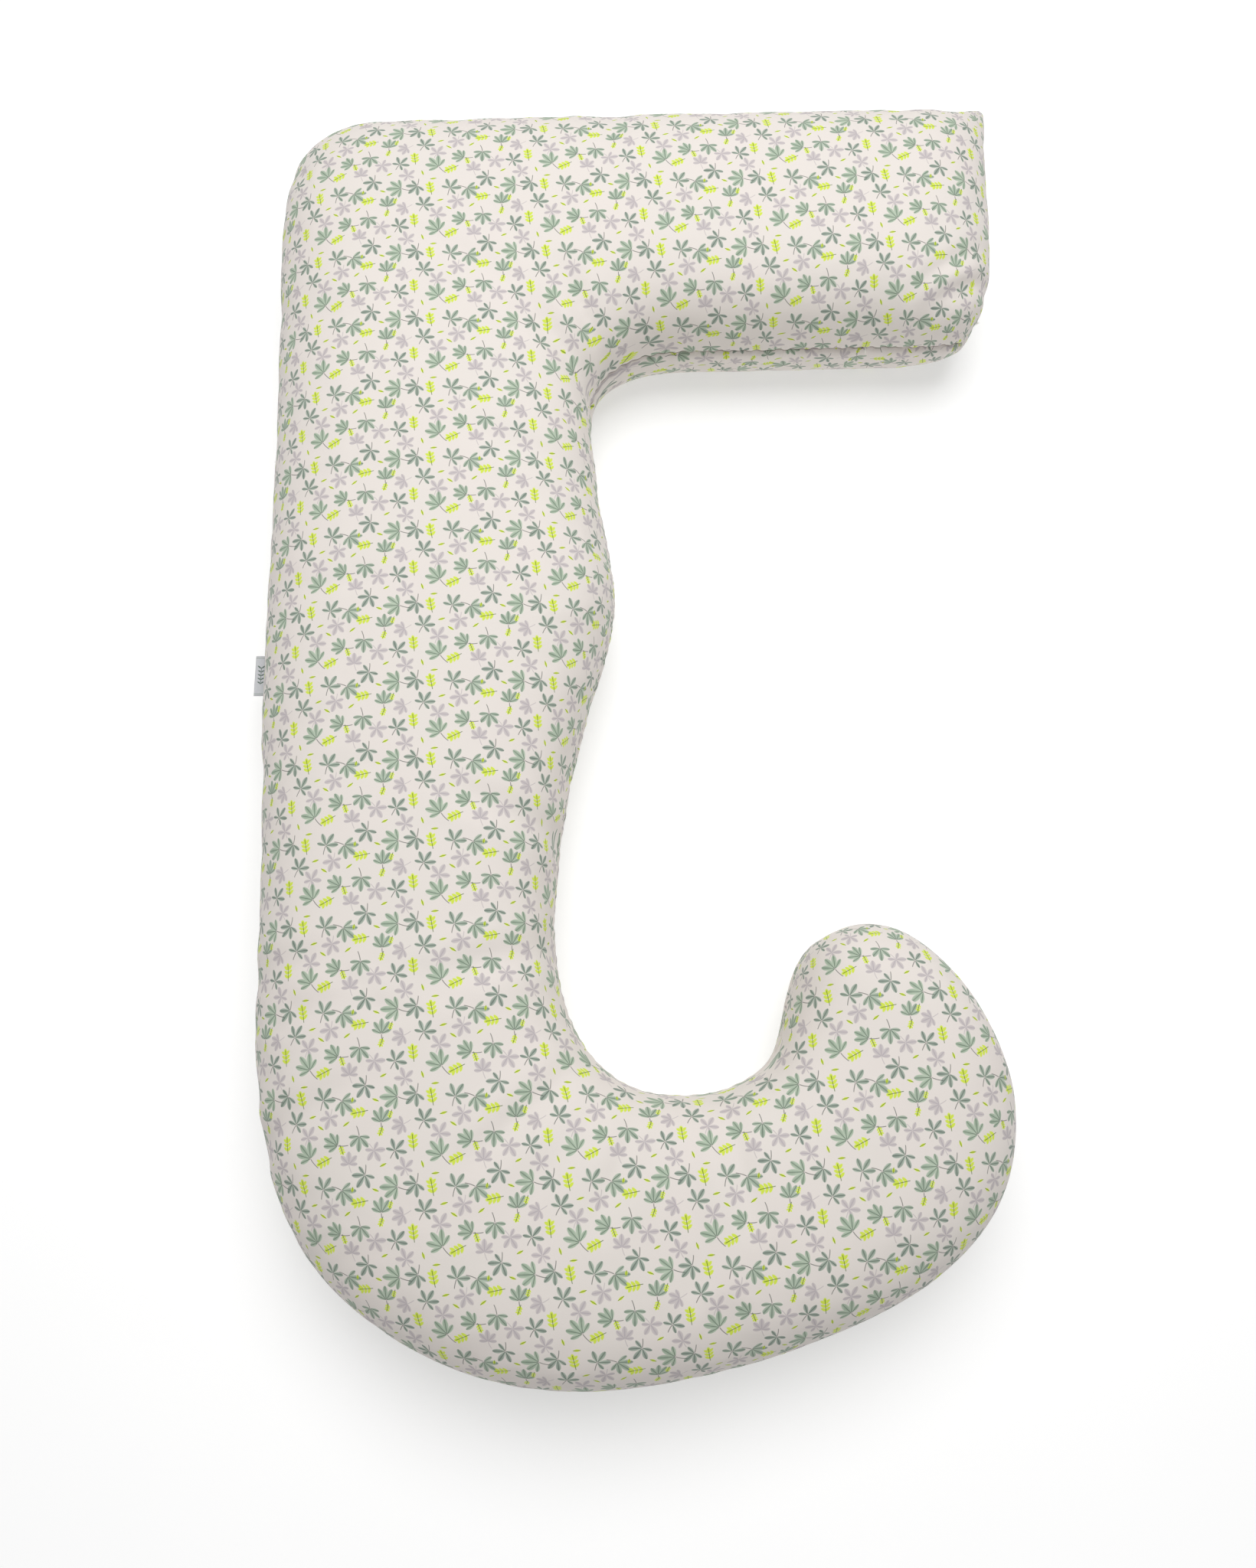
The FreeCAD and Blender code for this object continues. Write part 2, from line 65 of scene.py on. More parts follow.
# Soft creases in the front panel: start, end, depth and width.
FOLDS = [
    ((0.300, 0.392), (0.372, 0.432), 5 * MM, 7 * MM),
    ((0.285, 0.404), (0.366, 0.462), 3 * MM, 8 * MM),
    ((-0.030, 0.300), (-0.105, 0.372), 5 * MM, 12 * MM),
    ((-0.030, 0.330), (-0.070, 0.420), 3.5 * MM, 10 * MM),
    ((-0.045, 0.200), (-0.150, 0.235), 3 * MM, 13 * MM),
    ((-0.062, -0.160), (-0.170, -0.120), 3 * MM, 12 * MM),
    ((-0.078, -0.260), (-0.190, -0.300), 3.5 * MM, 13 * MM),
    ((-0.050, -0.370), (-0.140, -0.450), 4 * MM, 12 * MM),
    ((0.010, -0.410), (-0.030, -0.500), 4 * MM, 12 * MM),
    ((0.080, -0.410), (0.100, -0.500), 3.5 * MM, 11 * MM),
    ((-0.365, -0.300), (-0.270, -0.270), 3 * MM, 12 * MM),
    ((-0.335, -0.440), (-0.240, -0.380), 3 * MM, 13 * MM),
]

# The zip's slot: half its height, how far past the tapes' ends it goes (below 0: short of them), how far
# back from the tapes it is looked for, and how near its edge a mesh point moves onto it.
SLOT_LOW, SLOT_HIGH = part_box("zip_tape_front")
SLOT_HALF = 5 * MM
SLOT_END = -1.2 * MM
SLOT_BACK = SLOT_LOW.y - 20 * MM
SLOT_SNAP = 1.2 * MM
# The hem's turns from the slot's edge: how far in under the cloth, and how far from the seam.
HEM_TURNS = ((0.35 * MM, -0.25 * MM), (0.5 * MM, 1.5 * MM), (0.2 * MM, 3 * MM))
CUT_MAP = "cut"
# The section that the cloth is laid over: its superellipse power, and its half width by its half depth.
ROUNDNESS = 2.9
WIDTH_SHARE = 1.8

SEAM_DEPTH = 3.2 * MM
SEAM_WIDTH = 5 * MM
PUCKER_DEPTH = 0.8 * MM
PUCKER_REACH = 11 * MM
PUCKER_PITCH = 13 * MM
COIL_PITCH = 1.45 * MM
COIL_STEPS = 10
STITCH_PITCH = 3 * MM
# How deep under the cover the inner layers lie.
CASING_DEPTH = 5.8 * MM
FILLING_DEPTH = 7.2 * MM

CAMERA_LENS = 30.63
CAMERA_PLACE = (-0.0057, -0.3920, 1.3761)
CAMERA_TILT = math.radians(12.995)
FLOOR_REACH = 40


# ---------------------------------------------------------------- mesh tools


def new_object(name, mesh):
    piece = bpy.data.objects.new(name, mesh)
    bpy.context.scene.collection.objects.link(piece)
    return piece


def mesh_from(name, points, faces):
    mesh = bpy.data.meshes.new(name)
    mesh.from_pydata([tuple(p) for p in points], [], [tuple(f) for f in faces])
    mesh.update()
    return mesh


def smooth_faces(piece):
    """Shades the piece as one smooth surface."""
    for face in piece.data.polygons:
        face.use_smooth = True


def grid_faces(rows, columns, closed=False, first=0):
    """Quads between the rows of a grid of points; a closed grid joins its last column to its first."""
    faces = []
    for row in range(rows - 1):
        base = first + row * columns
        for column in range(columns if closed else columns - 1):
            ahead = (column + 1) % columns
            faces.append((base + column, base + ahead, base + columns + ahead, base + columns + column))
    return faces


def end_caps(rows, columns):
    """The two end faces of a tube of rings."""
    return [tuple(range(columns))[::-1], tuple((rows - 1) * columns + i for i in range(columns))]


def get_points(mesh):
    flat = np.empty(len(mesh.vertices) * 3)
    mesh.vertices.foreach_get("co", flat)
    return flat.reshape(-1, 3)


def set_points(mesh, points):
    mesh.vertices.foreach_set("co", points.ravel())
    mesh.update()


def get_normals(mesh):
    flat = np.empty(len(mesh.vertices) * 3)
    mesh.vertices.foreach_get("normal", flat)
    return flat.reshape(-1, 3)


def get_edges(mesh):
    flat = np.empty(len(mesh.edges) * 2, dtype=np.int64)
    mesh.edges.foreach_get("vertices", flat)
    return flat.reshape(-1, 2)


def smoothed(values, edges, passes, fixed=None, share=0.5):
    """Each vertex's value moved part of the way to its neighbours' mean, a number of times."""
    values = values.copy()
    count = np.bincount(edges.ravel(), minlength=len(values)).reshape(-1, 1)
    for _ in range(passes):
        total = np.zeros_like(values)
        for near, far in ((0, 1), (1, 0)):
            for axis in range(values.shape[1]):
                total[:, axis] += np.bincount(
                    edges[:, near], weights=values[edges[:, far], axis], minlength=len(values)
                )
        moved = values + share * (total / np.maximum(count, 1) - values)
        if fixed is not None:
            moved[fixed] = values[fixed]
        values = moved
    return values


def apply_modifiers(piece):
    """Gives the piece the mesh that its modifiers make of it."""
    graph = bpy.context.evaluated_depsgraph_get()
    mesh = bpy.data.meshes.new_from_object(piece.evaluated_get(graph))
    piece.modifiers.clear()
    piece.data = mesh
    return mesh


def ramp(value, start, end):
    """Smooth step from 0 at start to 1 at end."""
    part = np.clip((value - start) / (end - start), 0, 1)
    return part * part * (3 - 2 * part)


# ---------------------------------------------------------------- the stuffed body


def closed_skin():
    """The cover's outer skin, with the tapes bridging its zip slot: points and faces."""
    filling = bmesh.new()
    filling.from_mesh(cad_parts["fibre_fill"].data)
    tree = BVHTree.FromBMesh(filling)
    filling.free()
    points, faces = [], []
    for node in ("cover_front_panel", "cover_back_panel", "zip_tape_front", "zip_tape_back"):
        skin = bmesh.new()
        skin.from_mesh(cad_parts[node].data)
        skin.normal_update()
        if node.startswith("cover"):
            inner = [
                face
                for face in skin.faces
                if tree.find_nearest(face.calc_center_median())[1].dot(face.normal) < 0.3
            ]
            bmesh.ops.delete(skin, geom=inner, context="FACES")
        skin.verts.index_update()
        start = len(points)
        points.extend(vert.co.copy() for vert in skin.verts)
        faces.extend([vert.index + start for vert in face.verts] for face in skin.faces)
        skin.free()
    return points, faces


def even_body():
    """The outer skin as an even quad mesh, cut along the seam, and which of its points lie on the seam."""
    points, faces = closed_skin()
    tree = BVHTree.FromPolygons(points, faces)
    mesh = mesh_from("body", points, faces)
    body = new_object("body", mesh)
    mesh.remesh_voxel_size = VOXEL
    mesh.remesh_voxel_adaptivity = 0
    bpy.context.view_layer.objects.active = body
    body.select_set(True)
    bpy.ops.object.voxel_remesh()
    cut = bmesh.new()
    cut.from_mesh(body.data)
    bmesh.ops.bisect_plane(
        cut,
        geom=cut.verts[:] + cut.edges[:] + cut.faces[:],
        dist=VOXEL * 0.45,
        plane_co=(0, 0, SEAM),
        plane_no=(0, 0, 1),
        use_snap_center=True,
    )
    cut.to_mesh(body.data)
    cut.free()
    seam = np.abs(get_points(body.data)[:, 2] - SEAM) < 1e-5
    even = smoothed(get_points(body.data), get_edges(body.data), 6)
    even[seam, 2] = SEAM
    for index, point in enumerate(even):
        even[index] = tree.find_nearest(Vector(point))[0]
    even[seam, 2] = SEAM
    set_points(body.data, draw_out_corner(even, seam))
    return body, seam


def draw_out_corner(points, seam):
    """The arm's outer corner, where the stuffing fills the seam's corner right to its point."""
    on_seam = points[seam]
    corner = on_seam[np.argmax(on_seam[:, 0] + on_seam[:, 1])]
    offset = points - corner
    far = np.hypot(offset[:, 0], offset[:, 1])
    near = np.clip(1 - far / CORNER_REACH, 0, 1) ** 2
    near = near * np.exp(-((offset[:, 2] / CORNER_HEIGHT) ** 2))
    near = near * ramp(points[:, 0], SLOT_HIGH.x + SLOT_END, corner[0])
    pushed = points.copy()
    pushed[:, 0] += CORNER_PUSH[0] * near
    pushed[:, 1] += CORNER_PUSH[1] * near
    return pushed


def fold_in(points, normals, folds):
    """Long soft creases: each runs between two plan points on one side of the seam."""
    for (x0, y0), (x1, y1), depth, width in folds:
        start = np.array((x0, y0))
        run = np.array((x1 - x0, y1 - y0))
        offset = points[:, :2] - start
        share = np.clip(offset @ run / (run @ run), 0, 1)
        side = offset - share[:, None] * run
        far = np.hypot(side[:, 0], side[:, 1])
        taper = np.sin(np.pi * (0.06 + 0.88 * share)) ** 0.7
        upper = ramp(points[:, 2], SEAM, SEAM + 12 * MM)
        dip = np.exp(-((far / width) ** 2)) - 0.45 * np.exp(-(((far - 2 * width) / width) ** 2))
        points = points - normals * (depth * dip * taper * upper)[:, None]
    return points


def swell(body, seam):
    """Cloth simulation: the cover, cut slightly large and held at its seam, is blown up by its filling.

    The filling keeps the body's shape, so only the creases stay: how far each point moved in or out,
    less the mean around it, softly limited.
    """
    full = get_points(body.data)
    normals = get_normals(body.data)
    start = full - normals * SHRINK
    start[seam] = full[seam]
    set_points(body.data, start)
    group = body.vertex_groups.new(name="seam")
    group.add([int(i) for i in np.flatnonzero(seam)], 1.0, "REPLACE")
    cloth = body.modifiers.new("Cloth", "CLOTH")
    cloth.settings.quality = 4
    cloth.settings.mass = 0.15
    cloth.settings.tension_stiffness = 40
    cloth.settings.compression_stiffness = 40
    cloth.settings.shear_stiffness = 20
    cloth.settings.bending_stiffness = 0.5
    cloth.settings.tension_damping = 15
    cloth.settings.compression_damping = 15
    cloth.settings.air_damping = 3
    cloth.settings.use_pressure = True
    cloth.settings.uniform_pressure_force = 4
    cloth.settings.effector_weights.gravity = 0
    cloth.settings.vertex_group_mass = "seam"
    cloth.settings.shrink_min = -EXCESS
    cloth.settings.shrink_max = -EXCESS
    cloth.point_cache.frame_start = 1
    cloth.point_cache.frame_end = SWELL_FRAMES
    for number in range(1, SWELL_FRAMES + 1):
        bpy.context.scene.frame_set(number)
    apply_modifiers(body)
    bpy.context.scene.frame_set(1)
    edges = get_edges(body.data)
    height = ((get_points(body.data) - start) * normals).sum(axis=1, keepdims=True)
    height[seam] = 0
    crease = height - smoothed(height, edges, SMOOTH_PASSES)
    crease = SWELL_CAP * np.tanh(crease / SWELL_CAP)
    crease = smoothed(crease, edges, 1) * CREASE_SHARE
    set_points(body.data, full + crease * normals)


# ---------------------------------------------------------------- the cover's panels


def hidden_length():
    """How much longer the cloth is than its plan, by how far it has come down from the crown.

    The body's section is a superellipse. Both lists run from the crown to the seam, as shares of the
    half depth: the drop, and the cloth's length less the plan distance.
    """
    angle = np.linspace(math.pi / 2, 0, 200)
    size = (np.cos(angle) ** ROUNDNESS + np.sin(angle) ** ROUNDNESS) ** (1 / ROUNDNESS)
    across, up = WIDTH_SHARE * np.cos(angle) / size, np.sin(angle) / size
    step = np.hypot(np.diff(across), np.diff(up)) - np.diff(across)
    return 1 - up, np.concatenate([[0], np.cumsum(step)])


def lay_out(mesh, mirrored):
    """Maps a panel onto the flat cloth it was cut from, in metres: straight grain, laid over its plan."""
    points, normals = get_points(mesh), get_normals(mesh)
    drop, extra = hidden_length()
    half_depth = TOP - SEAM
    fallen = 1 - np.abs(points[:, 2] - SEAM) / half_depth
    outward = normals[:, :2] / np.maximum(np.linalg.norm(normals[:, :2], axis=1, keepdims=True), 1e-6)
    length = np.interp(np.clip(fallen, 0, 1), drop, extra) * half_depth
    flat = points[:, :2] + outward * length[:, None]
    if mirrored:
        flat[:, 0] *= -1
    corner = np.empty(len(mesh.loops), dtype=np.int64)
    mesh.loops.foreach_get("vertex_index", corner)
    mesh.uv_layers.new(name=CUT_MAP).data.foreach_set("uv", flat[corner].ravel())


def half_of(body, upper):
    """The part of the body's mesh above or below its seam."""
    half = bmesh.new()
    half.from_mesh(body.data)
    gone = [face for face in half.faces if (face.calc_center_median().z > SEAM) != upper]
    bmesh.ops.delete(half, geom=gone, context="FACES")
    mesh = bpy.data.meshes.new("half")
    half.to_mesh(mesh)
    half.free()
    return mesh


def seam_loop(mesh):
    """The panel's edge as an ordered ring of points, each point's distance along it and outward side."""
    ring = bmesh.new()
    ring.from_mesh(mesh)
    first = next(vert for vert in ring.verts if vert.is_boundary)
    order, before, vert = [first.co.copy()], None, first
    while True:
        ahead = [
            edge.other_vert(vert)
            for edge in vert.link_edges
            if edge.is_boundary and edge.other_vert(vert) is not before
        ]
        before, vert = vert, ahead[0]
        if vert is first:
            break
        order.append(vert.co.copy())
    ring.free()
    points = np.array(order)
    ahead = np.roll(points, -1, axis=0) - points
    along = np.concatenate([[0], np.cumsum(np.linalg.norm(ahead, axis=1))[:-1]])
    tangent = ahead + np.roll(ahead, 1, axis=0)
    outward = np.stack([tangent[:, 1], -tangent[:, 0], 0 * along], axis=1)
    outward /= np.linalg.norm(outward, axis=1, keepdims=True)
    area = (points[:, 0] * np.roll(points[:, 1], -1) - np.roll(points[:, 0], -1) * points[:, 1]).sum()
    return points, along, outward * np.sign(area)


def in_slot(points):
    """How far inside the zip's slot, along the zip, each point is; negative past the slot's ends."""
    along = np.minimum(points[:, 0] - SLOT_LOW.x + SLOT_END, SLOT_HIGH.x + SLOT_END - points[:, 0])
    return np.where(points[:, 1] > SLOT_BACK, along, -1)


def pinch(mesh, loop):
    """Draws the panel in along its seam, with the small puckers that the stitches pull."""
    ring, along, outward = loop
    tree = KDTree(len(ring))
    for index, point in enumerate(ring):
        tree.insert(Vector(point), index)
    tree.balance()
    points = get_points(mesh)
    closed = 1 - ramp(in_slot(points), -12 * MM, 0)
    for index in np.flatnonzero(np.abs(points[:, 2] - SEAM) < PUCKER_REACH * 2):
        _, nearest, far = tree.find(Vector(points[index]))
        s = along[nearest]
        pull = SEAM_DEPTH * math.exp(-((far / SEAM_WIDTH) ** 2))
        beat = math.sin(s / PUCKER_PITCH * 2 * math.pi + 2 * math.sin(s / 0.07))
        beat += 0.6 * math.sin(s / PUCKER_PITCH * 1.3 * math.pi + 1.5 * math.sin(s / 0.11))
        pull += PUCKER_DEPTH * beat * math.exp(-((far / PUCKER_REACH) ** 2))
        points[index] -= outward[nearest] * pull * closed[index]
    set_points(mesh, points)


def split_near_slot(cut, place, facing):
    """Splits the faces near the slot along a plane."""
    near = [
        face
        for face in cut.faces
        if face.calc_center_median().y > SLOT_BACK
        and abs(face.calc_center_median().z - SEAM) < 3 * SLOT_HALF
    ]
    edges = dict.fromkeys(edge for face in near for edge in face.edges)
    verts = dict.fromkeys(vert for face in near for vert in face.verts)
    bmesh.ops.bisect_plane(
        cut,
        geom=list(verts) + list(edges) + near,
        dist=SLOT_SNAP,
        plane_co=place,
        plane_no=facing,
        use_snap_center=True,
    )


def covers_slot(face):
    middle = face.calc_center_median()
    return (
        SLOT_LOW.x - SLOT_END < middle.x < SLOT_HIGH.x + SLOT_END
        and middle.y > SLOT_BACK
        and abs(middle.z - SEAM) < SLOT_HALF
    )


def on_slot_rim(edge):
    return edge.is_boundary and all(
        SLOT_LOW.x - 2 * SLOT_END < vert.co.x < SLOT_HIGH.x + 2 * SLOT_END
        and vert.co.y > SLOT_BACK
        and abs(vert.co.z - SEAM) > 0.8 * SLOT_HALF
        for vert in edge.verts
    )


def cut_slot(mesh, upper):
    """Opens the zip's slot along the panel's edge, and turns its raw edge in under the cloth."""
    cut = bmesh.new()
    cut.from_mesh(mesh)
    side = 1 if upper else -1
    split_near_slot(cut, (0, 0, SEAM + side * SLOT_HALF), (0, 0, 1))
    split_near_slot(cut, (SLOT_LOW.x - SLOT_END, 0, 0), (1, 0, 0))
    split_near_slot(cut, (SLOT_HIGH.x + SLOT_END, 0, 0), (1, 0, 0))
    bmesh.ops.delete(cut, geom=[face for face in cut.faces if covers_slot(face)], context="FACES")
    rim = [edge for edge in cut.edges if on_slot_rim(edge)]
    for inward, away in HEM_TURNS:
        turned = bmesh.ops.extrude_edge_only(cut, edges=rim)["geom"]
        for vert in (part for part in turned if isinstance(part, bmesh.types.BMVert)):
            vert.co += Vector((0, -inward, side * away))
        rim = [part for part in turned if isinstance(part, bmesh.types.BMEdge)]
    cut.to_mesh(mesh)
    cut.free()


def cover_panel(body, name, upper):
    """One printed panel: half the body's skin, refined, drawn in at its seam and open at the zip."""
    mesh = half_of(body, upper)
    lay_out(mesh, not upper)
    panel = new_object(name, mesh)
    finer = panel.modifiers.new("finer", "SUBSURF")
    finer.levels = 1
    finer.render_levels = 1
    apply_modifiers(panel)
    pinch(panel.data, seam_loop(panel.data))
    cut_slot(panel.data, upper)
    smooth_faces(panel)
    return panel


def inner_layer(body, name, depth, part):
    """A layer inside the cover, that deep under it: the upper half, the lower half or the whole."""
    mesh = body.data.copy() if part == "whole" else half_of(body, part == "upper")
    points = get_points(mesh) - get_normals(mesh) * depth
    if part == "upper":
        points[:, 2] = np.maximum(points[:, 2], SEAM)
    elif part == "lower":
        points[:, 2] = np.minimum(points[:, 2], SEAM)
    else:
        lumps = 0.6 * MM * np.sin(points[:, 0] / 0.011) * np.sin(points[:, 1] / 0.013)
        points -= get_normals(mesh) * np.abs(lumps)[:, None]
    set_points(mesh, points)
    layer = new_object(name, mesh)
    smooth_faces(layer)
    return layer


# ---------------------------------------------------------------- the zip

ZIP_SLOPE = math.radians(1.35)
TAPE_FACE = -1.2 * MM
TAPE_BACK = -1.8 * MM
ZIP_SIDE = Vector((-math.sin(ZIP_SLOPE), math.cos(ZIP_SLOPE), 0))
ZIP_ALONG = Vector((math.cos(ZIP_SLOPE), math.sin(ZIP_SLOPE), 0))


def zip_origin():
    """The middle of the zip on the cover's surface, which the tapes lie under."""
    low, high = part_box("zip_tape_front")
    middle = (low + high) / 2
    middle.z = SEAM
    return middle - ZIP_SIDE * (TAPE_FACE + TAPE_BACK) / 2


ZIP_MIDDLE = zip_origin()


def zip_place(along, out, up):
    """A point by its place along the zip, out of the cover's surface, and up from the seam."""
    return ZIP_MIDDLE + ZIP_ALONG * along + ZIP_SIDE * out + Vector((0, 0, up))


def zip_tape(name, side):
    """A woven tape with a raised cord beside the teeth and a thin selvedge."""
    low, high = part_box("zip_tape_front")
    half = (high.x - low.x) / 2 / math.cos(ZIP_SLOPE)
    inner, outer = low.z - SEAM, high.z - SEAM
    profile = [
        (TAPE_BACK, inner),
        (TAPE_FACE - 0.1 * MM, inner),
        (TAPE_FACE + 0.15 * MM, inner + 0.5 * MM),
        (TAPE_FACE + 0.15 * MM, inner + 1.3 * MM),
        (TAPE_FACE - 0.1 * MM, inner + 1.8 * MM),
        (TAPE_FACE - 0.1 * MM, outer - 1.2 * MM),
        (TAPE_FACE, outer - 0.8 * MM),
        (TAPE_FACE - 0.1 * MM, outer),
        (TAPE_BACK, outer),
    ]
    profile = profile if side > 0 else profile[::-1]
    steps = np.linspace(-half, half, 140)
    points = []
    for along in steps:
        ripple = 0.08 * MM * math.sin(along / 0.006)
        points.extend(zip_place(along, out + ripple, side * up) for out, up in profile)
    faces = grid_faces(len(steps), len(profile), closed=True) + end_caps(len(steps), len(profile))
    return new_object(name, mesh_from(name, points, faces))


def zip_coil(name, side):
    """One row of nylon teeth: a flattened coil whose loops mesh with the other row's."""
    low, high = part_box("zip_coil_front" if side > 0 else "zip_coil_back")
    half = (high.x - low.x) / 2 / math.cos(ZIP_SLOPE) - 0.5 * MM
    centre = ((low.z + high.z) / 2) - SEAM
    start = ((low.x + high.x) / 2 - ZIP_MIDDLE.x) / math.cos(ZIP_SLOPE)
    wire, reach, rise = 0.34 * MM, (high.z - low.z) / 2 - 0.34 * MM, 0.45 * MM
    turns = int(2 * half / COIL_PITCH)
    line = []
    for step in range(turns * COIL_STEPS + 1):
        angle = 2 * math.pi * step / COIL_STEPS
        along = start - half + COIL_PITCH * (angle / (2 * math.pi) + (0 if side > 0 else 0.5))
        line.append(zip_place(along, -0.4 * MM + rise * math.sin(angle), centre + reach * math.cos(angle)))
    return tube(name, line, wire, 6)


def tube(name, line, radius, sides):
    """A round wire along a line of points, with that many flat sides."""
    points = []
    for index, spot in enumerate(line):
        ahead = (line[min(index + 1, len(line) - 1)] - line[max(index - 1, 0)]).normalized()
        across = ahead.cross(ZIP_ALONG).normalized()
        up = ahead.cross(across)
        for corner in range(sides):
            angle = 2 * math.pi * corner / sides
            points.append(spot + radius * (math.cos(angle) * across + math.sin(angle) * up))
    faces = grid_faces(len(line), sides, closed=True) + end_caps(len(line), sides)
    piece = new_object(name, mesh_from(name, points, faces))
    smooth_faces(piece)
    return piece


def zip_stitches(name, cover):
    """A row of stitches through the cover, along that panel's side of the zip."""
    skin = bmesh.new()
    skin.from_mesh(cover.data)
    tree = BVHTree.FromBMesh(skin)
    skin.free()
    side = 1 if name.endswith("front") else -1
    half = (SLOT_HIGH.x - SLOT_LOW.x) / 2 / math.cos(ZIP_SLOPE)
    points, faces = [], []
    count = int(2 * half / STITCH_PITCH)
    for index in range(count):
        along = -half + (index + 0.5) * STITCH_PITCH
        up = side * (SLOT_HALF + 2.2 * MM)
        spot, normal, _, _ = tree.find_nearest(zip_place(along, 0, up))
        faces += grid_faces(4, 6, closed=True, first=len(points))
        for end, rise in ((-1, -0.05), (-0.55, 0.22), (0.55, 0.22), (1, -0.05)):
            for corner in range(6):
                angle = math.pi / 3 * corner
                points.append(
                    spot
                    + ZIP_ALONG * end * STITCH_PITCH * 0.42
                    + normal * (rise + 0.17 * math.sin(angle)) * MM
                    + Vector((0, 0, 0.17 * MM * math.cos(angle)))
                )
    piece = new_object(name, mesh_from(name, points, faces))
    smooth_faces(piece)
    return piece


# ---------------------------------------------------------------- the labels


def thin_piece(name, points, rows, columns, thickness, offset):
    """A piece of ribbon: a grid of points given a thickness."""
    piece = new_object(name, mesh_from(name, points, grid_faces(rows, columns)))
    shell = piece.modifiers.new("thick", "SOLIDIFY")
    shell.thickness = thickness
    shell.offset = offset
    apply_modifiers(piece)
    smooth_faces(piece)
    return piece


def side_label():
    """A woven ribbon folded in half, its two ends sewn into the left seam."""
    low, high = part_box("side_label")
    middle = (low.z + high.z) / 2
    gap = 0.12 * MM
    fold_x = low.x + 0.55 * MM
    line = [(high.x, gap), ((high.x + fold_x) / 2, gap + 0.1 * MM), (fold_x, gap)]
    line += [(fold_x - 0.4 * MM * math.sin(a), gap * math.cos(a)) for a in (0.8, math.pi / 2, 2.34)]
    line += [(fold_x, -gap), ((high.x + fold_x) / 2, -gap - 0.1 * MM), (high.x, -gap)]
    rows = np.linspace(low.y, high.y, 24)
    points = []
    for y in rows:
        sag = 0.12 * MM * math.sin((y - low.y) / (high.y - low.y) * math.pi * 2)
        points.extend((x, y, middle + z + sag * (high.x - x) / (high.x - low.x)) for x, z in line)
    return thin_piece("side_label_ribbon", points, len(rows), len(line), 0.28 * MM, 1)


def care_label():
    """A blank satin strip sewn under the zip's lower tape, a little curled."""
    low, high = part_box("care_label")
    columns, rows = np.linspace(low.x, high.x, 16), np.linspace(low.z, high.z, 20)
    points = []
    for z in rows:
        for x in columns:
            share = (x - low.x) / (high.x - low.x)
            y = low.y + (high.y - low.y) * (0.3 + 0.4 * share) + 0.1 * MM * math.sin(z / 0.006)
            points.append((x, y, z))
    return thin_piece("care_strip", points, len(rows), len(columns), 0.18 * MM, 0)


# ---------------------------------------------------------------- materials


class Nodes:
    """Short ways to add shader nodes to a material."""

    def __init__(self, name):
        self.material = bpy.data.materials.new(name)
        self.material.use_nodes = True
        self.tree = self.material.node_tree
        self.shader = self.tree.nodes["Principled BSDF"]

    def add(self, kind, inputs=(), **settings):
        node = self.tree.nodes.new(kind)
        for key, value in settings.items():
            setattr(node, key, value)
        for key, value in dict(inputs).items():
            self.feed(node.inputs[key], value)
        return node

    def feed(self, socket, value):
        if isinstance(value, bpy.types.NodeSocket):
            self.tree.links.new(value, socket)
        elif value is not None:
            socket.default_value = value

    def math(self, operation, *values, clamp=False):
        node = self.add("ShaderNodeMath", enumerate(values), operation=operation, use_clamp=clamp)
        return node.outputs[0]

    def times(self, first, second):
        return self.math("MULTIPLY", first, second)

    def minus(self, first, second, clamp=False):
        return self.math("SUBTRACT", first, second, clamp=clamp)

    def size(self, value):
        """How far the value is from 0."""
        return self.math("ABSOLUTE", value)

    def vector(self, operation, *values):
        node = self.add("ShaderNodeVectorMath", enumerate(values), operation=operation)
        return node.outputs["Value" if operation == "LENGTH" else "Vector"]

    def pick(self, share, first, second):
        """A vector: first where share is 0, second where it is 1."""
        node = self.add("ShaderNodeMix", data_type="VECTOR")
        for index, value in ((0, share), (4, first), (5, second)):
            self.feed(node.inputs[index], value)
        return node.outputs[1]

    def colour(self, share, first, second, blend="MIX"):
        node = self.add("ShaderNodeMix", data_type="RGBA", blend_type=blend)
        for index, value in ((0, share), (6, first), (7, second)):
            self.feed(node.inputs[index], value)
        return node.outputs[2]

    def split(self, value):
        return self.add("ShaderNodeSeparateXYZ", {0: value}).outputs

    def turned(self, value, angle):
        node = self.add("ShaderNodeVectorRotate", {"Vector": value, "Angle": angle}, rotation_type="Z_AXIS")
        return node.outputs[0]

    def inside(self, depth, softness):
        """1 where depth is above 0, with a soft edge."""
        return self.math("MULTIPLY_ADD", depth, 1 / softness, 0.5, clamp=True)

    def noise(self, place, scale, detail=2.0):
        node = self.add("ShaderNodeTexNoise", {"Vector": place, "Scale": scale, "Detail": detail})
        return node.outputs["Fac"]

    def bump(self, height, strength, distance, under=None):
        """A bumped normal, over another bump if one is given."""
        node = self.add("ShaderNodeBump", {"Height": height, "Strength": strength, "Distance": distance})
        self.feed(node.inputs["Normal"], under)
        return node.outputs[0]

    def finish(self, **inputs):
        """The material, with the shader's inputs by name and a _ for each space."""
        for name, value in inputs.items():
            self.feed(self.shader.inputs[name.replace("_", " ")], value)
        return self.material


def srgb(red, green, blue):
    """A colour from its 0 to 255 screen values."""
    channels = (red / 255, green / 255, blue / 255)
    return (*(((c + 0.055) / 1.055) ** 2.4 if c > 0.04045 else c / 12.92 for c in channels), 1)


# The print, in millimetres on the flat cloth. Angles are in degrees, counter-clockwise from the right.
REPEAT = (116, 75)
PRINT_TURN = math.radians(2)
LEAF_SCALE = 1.22
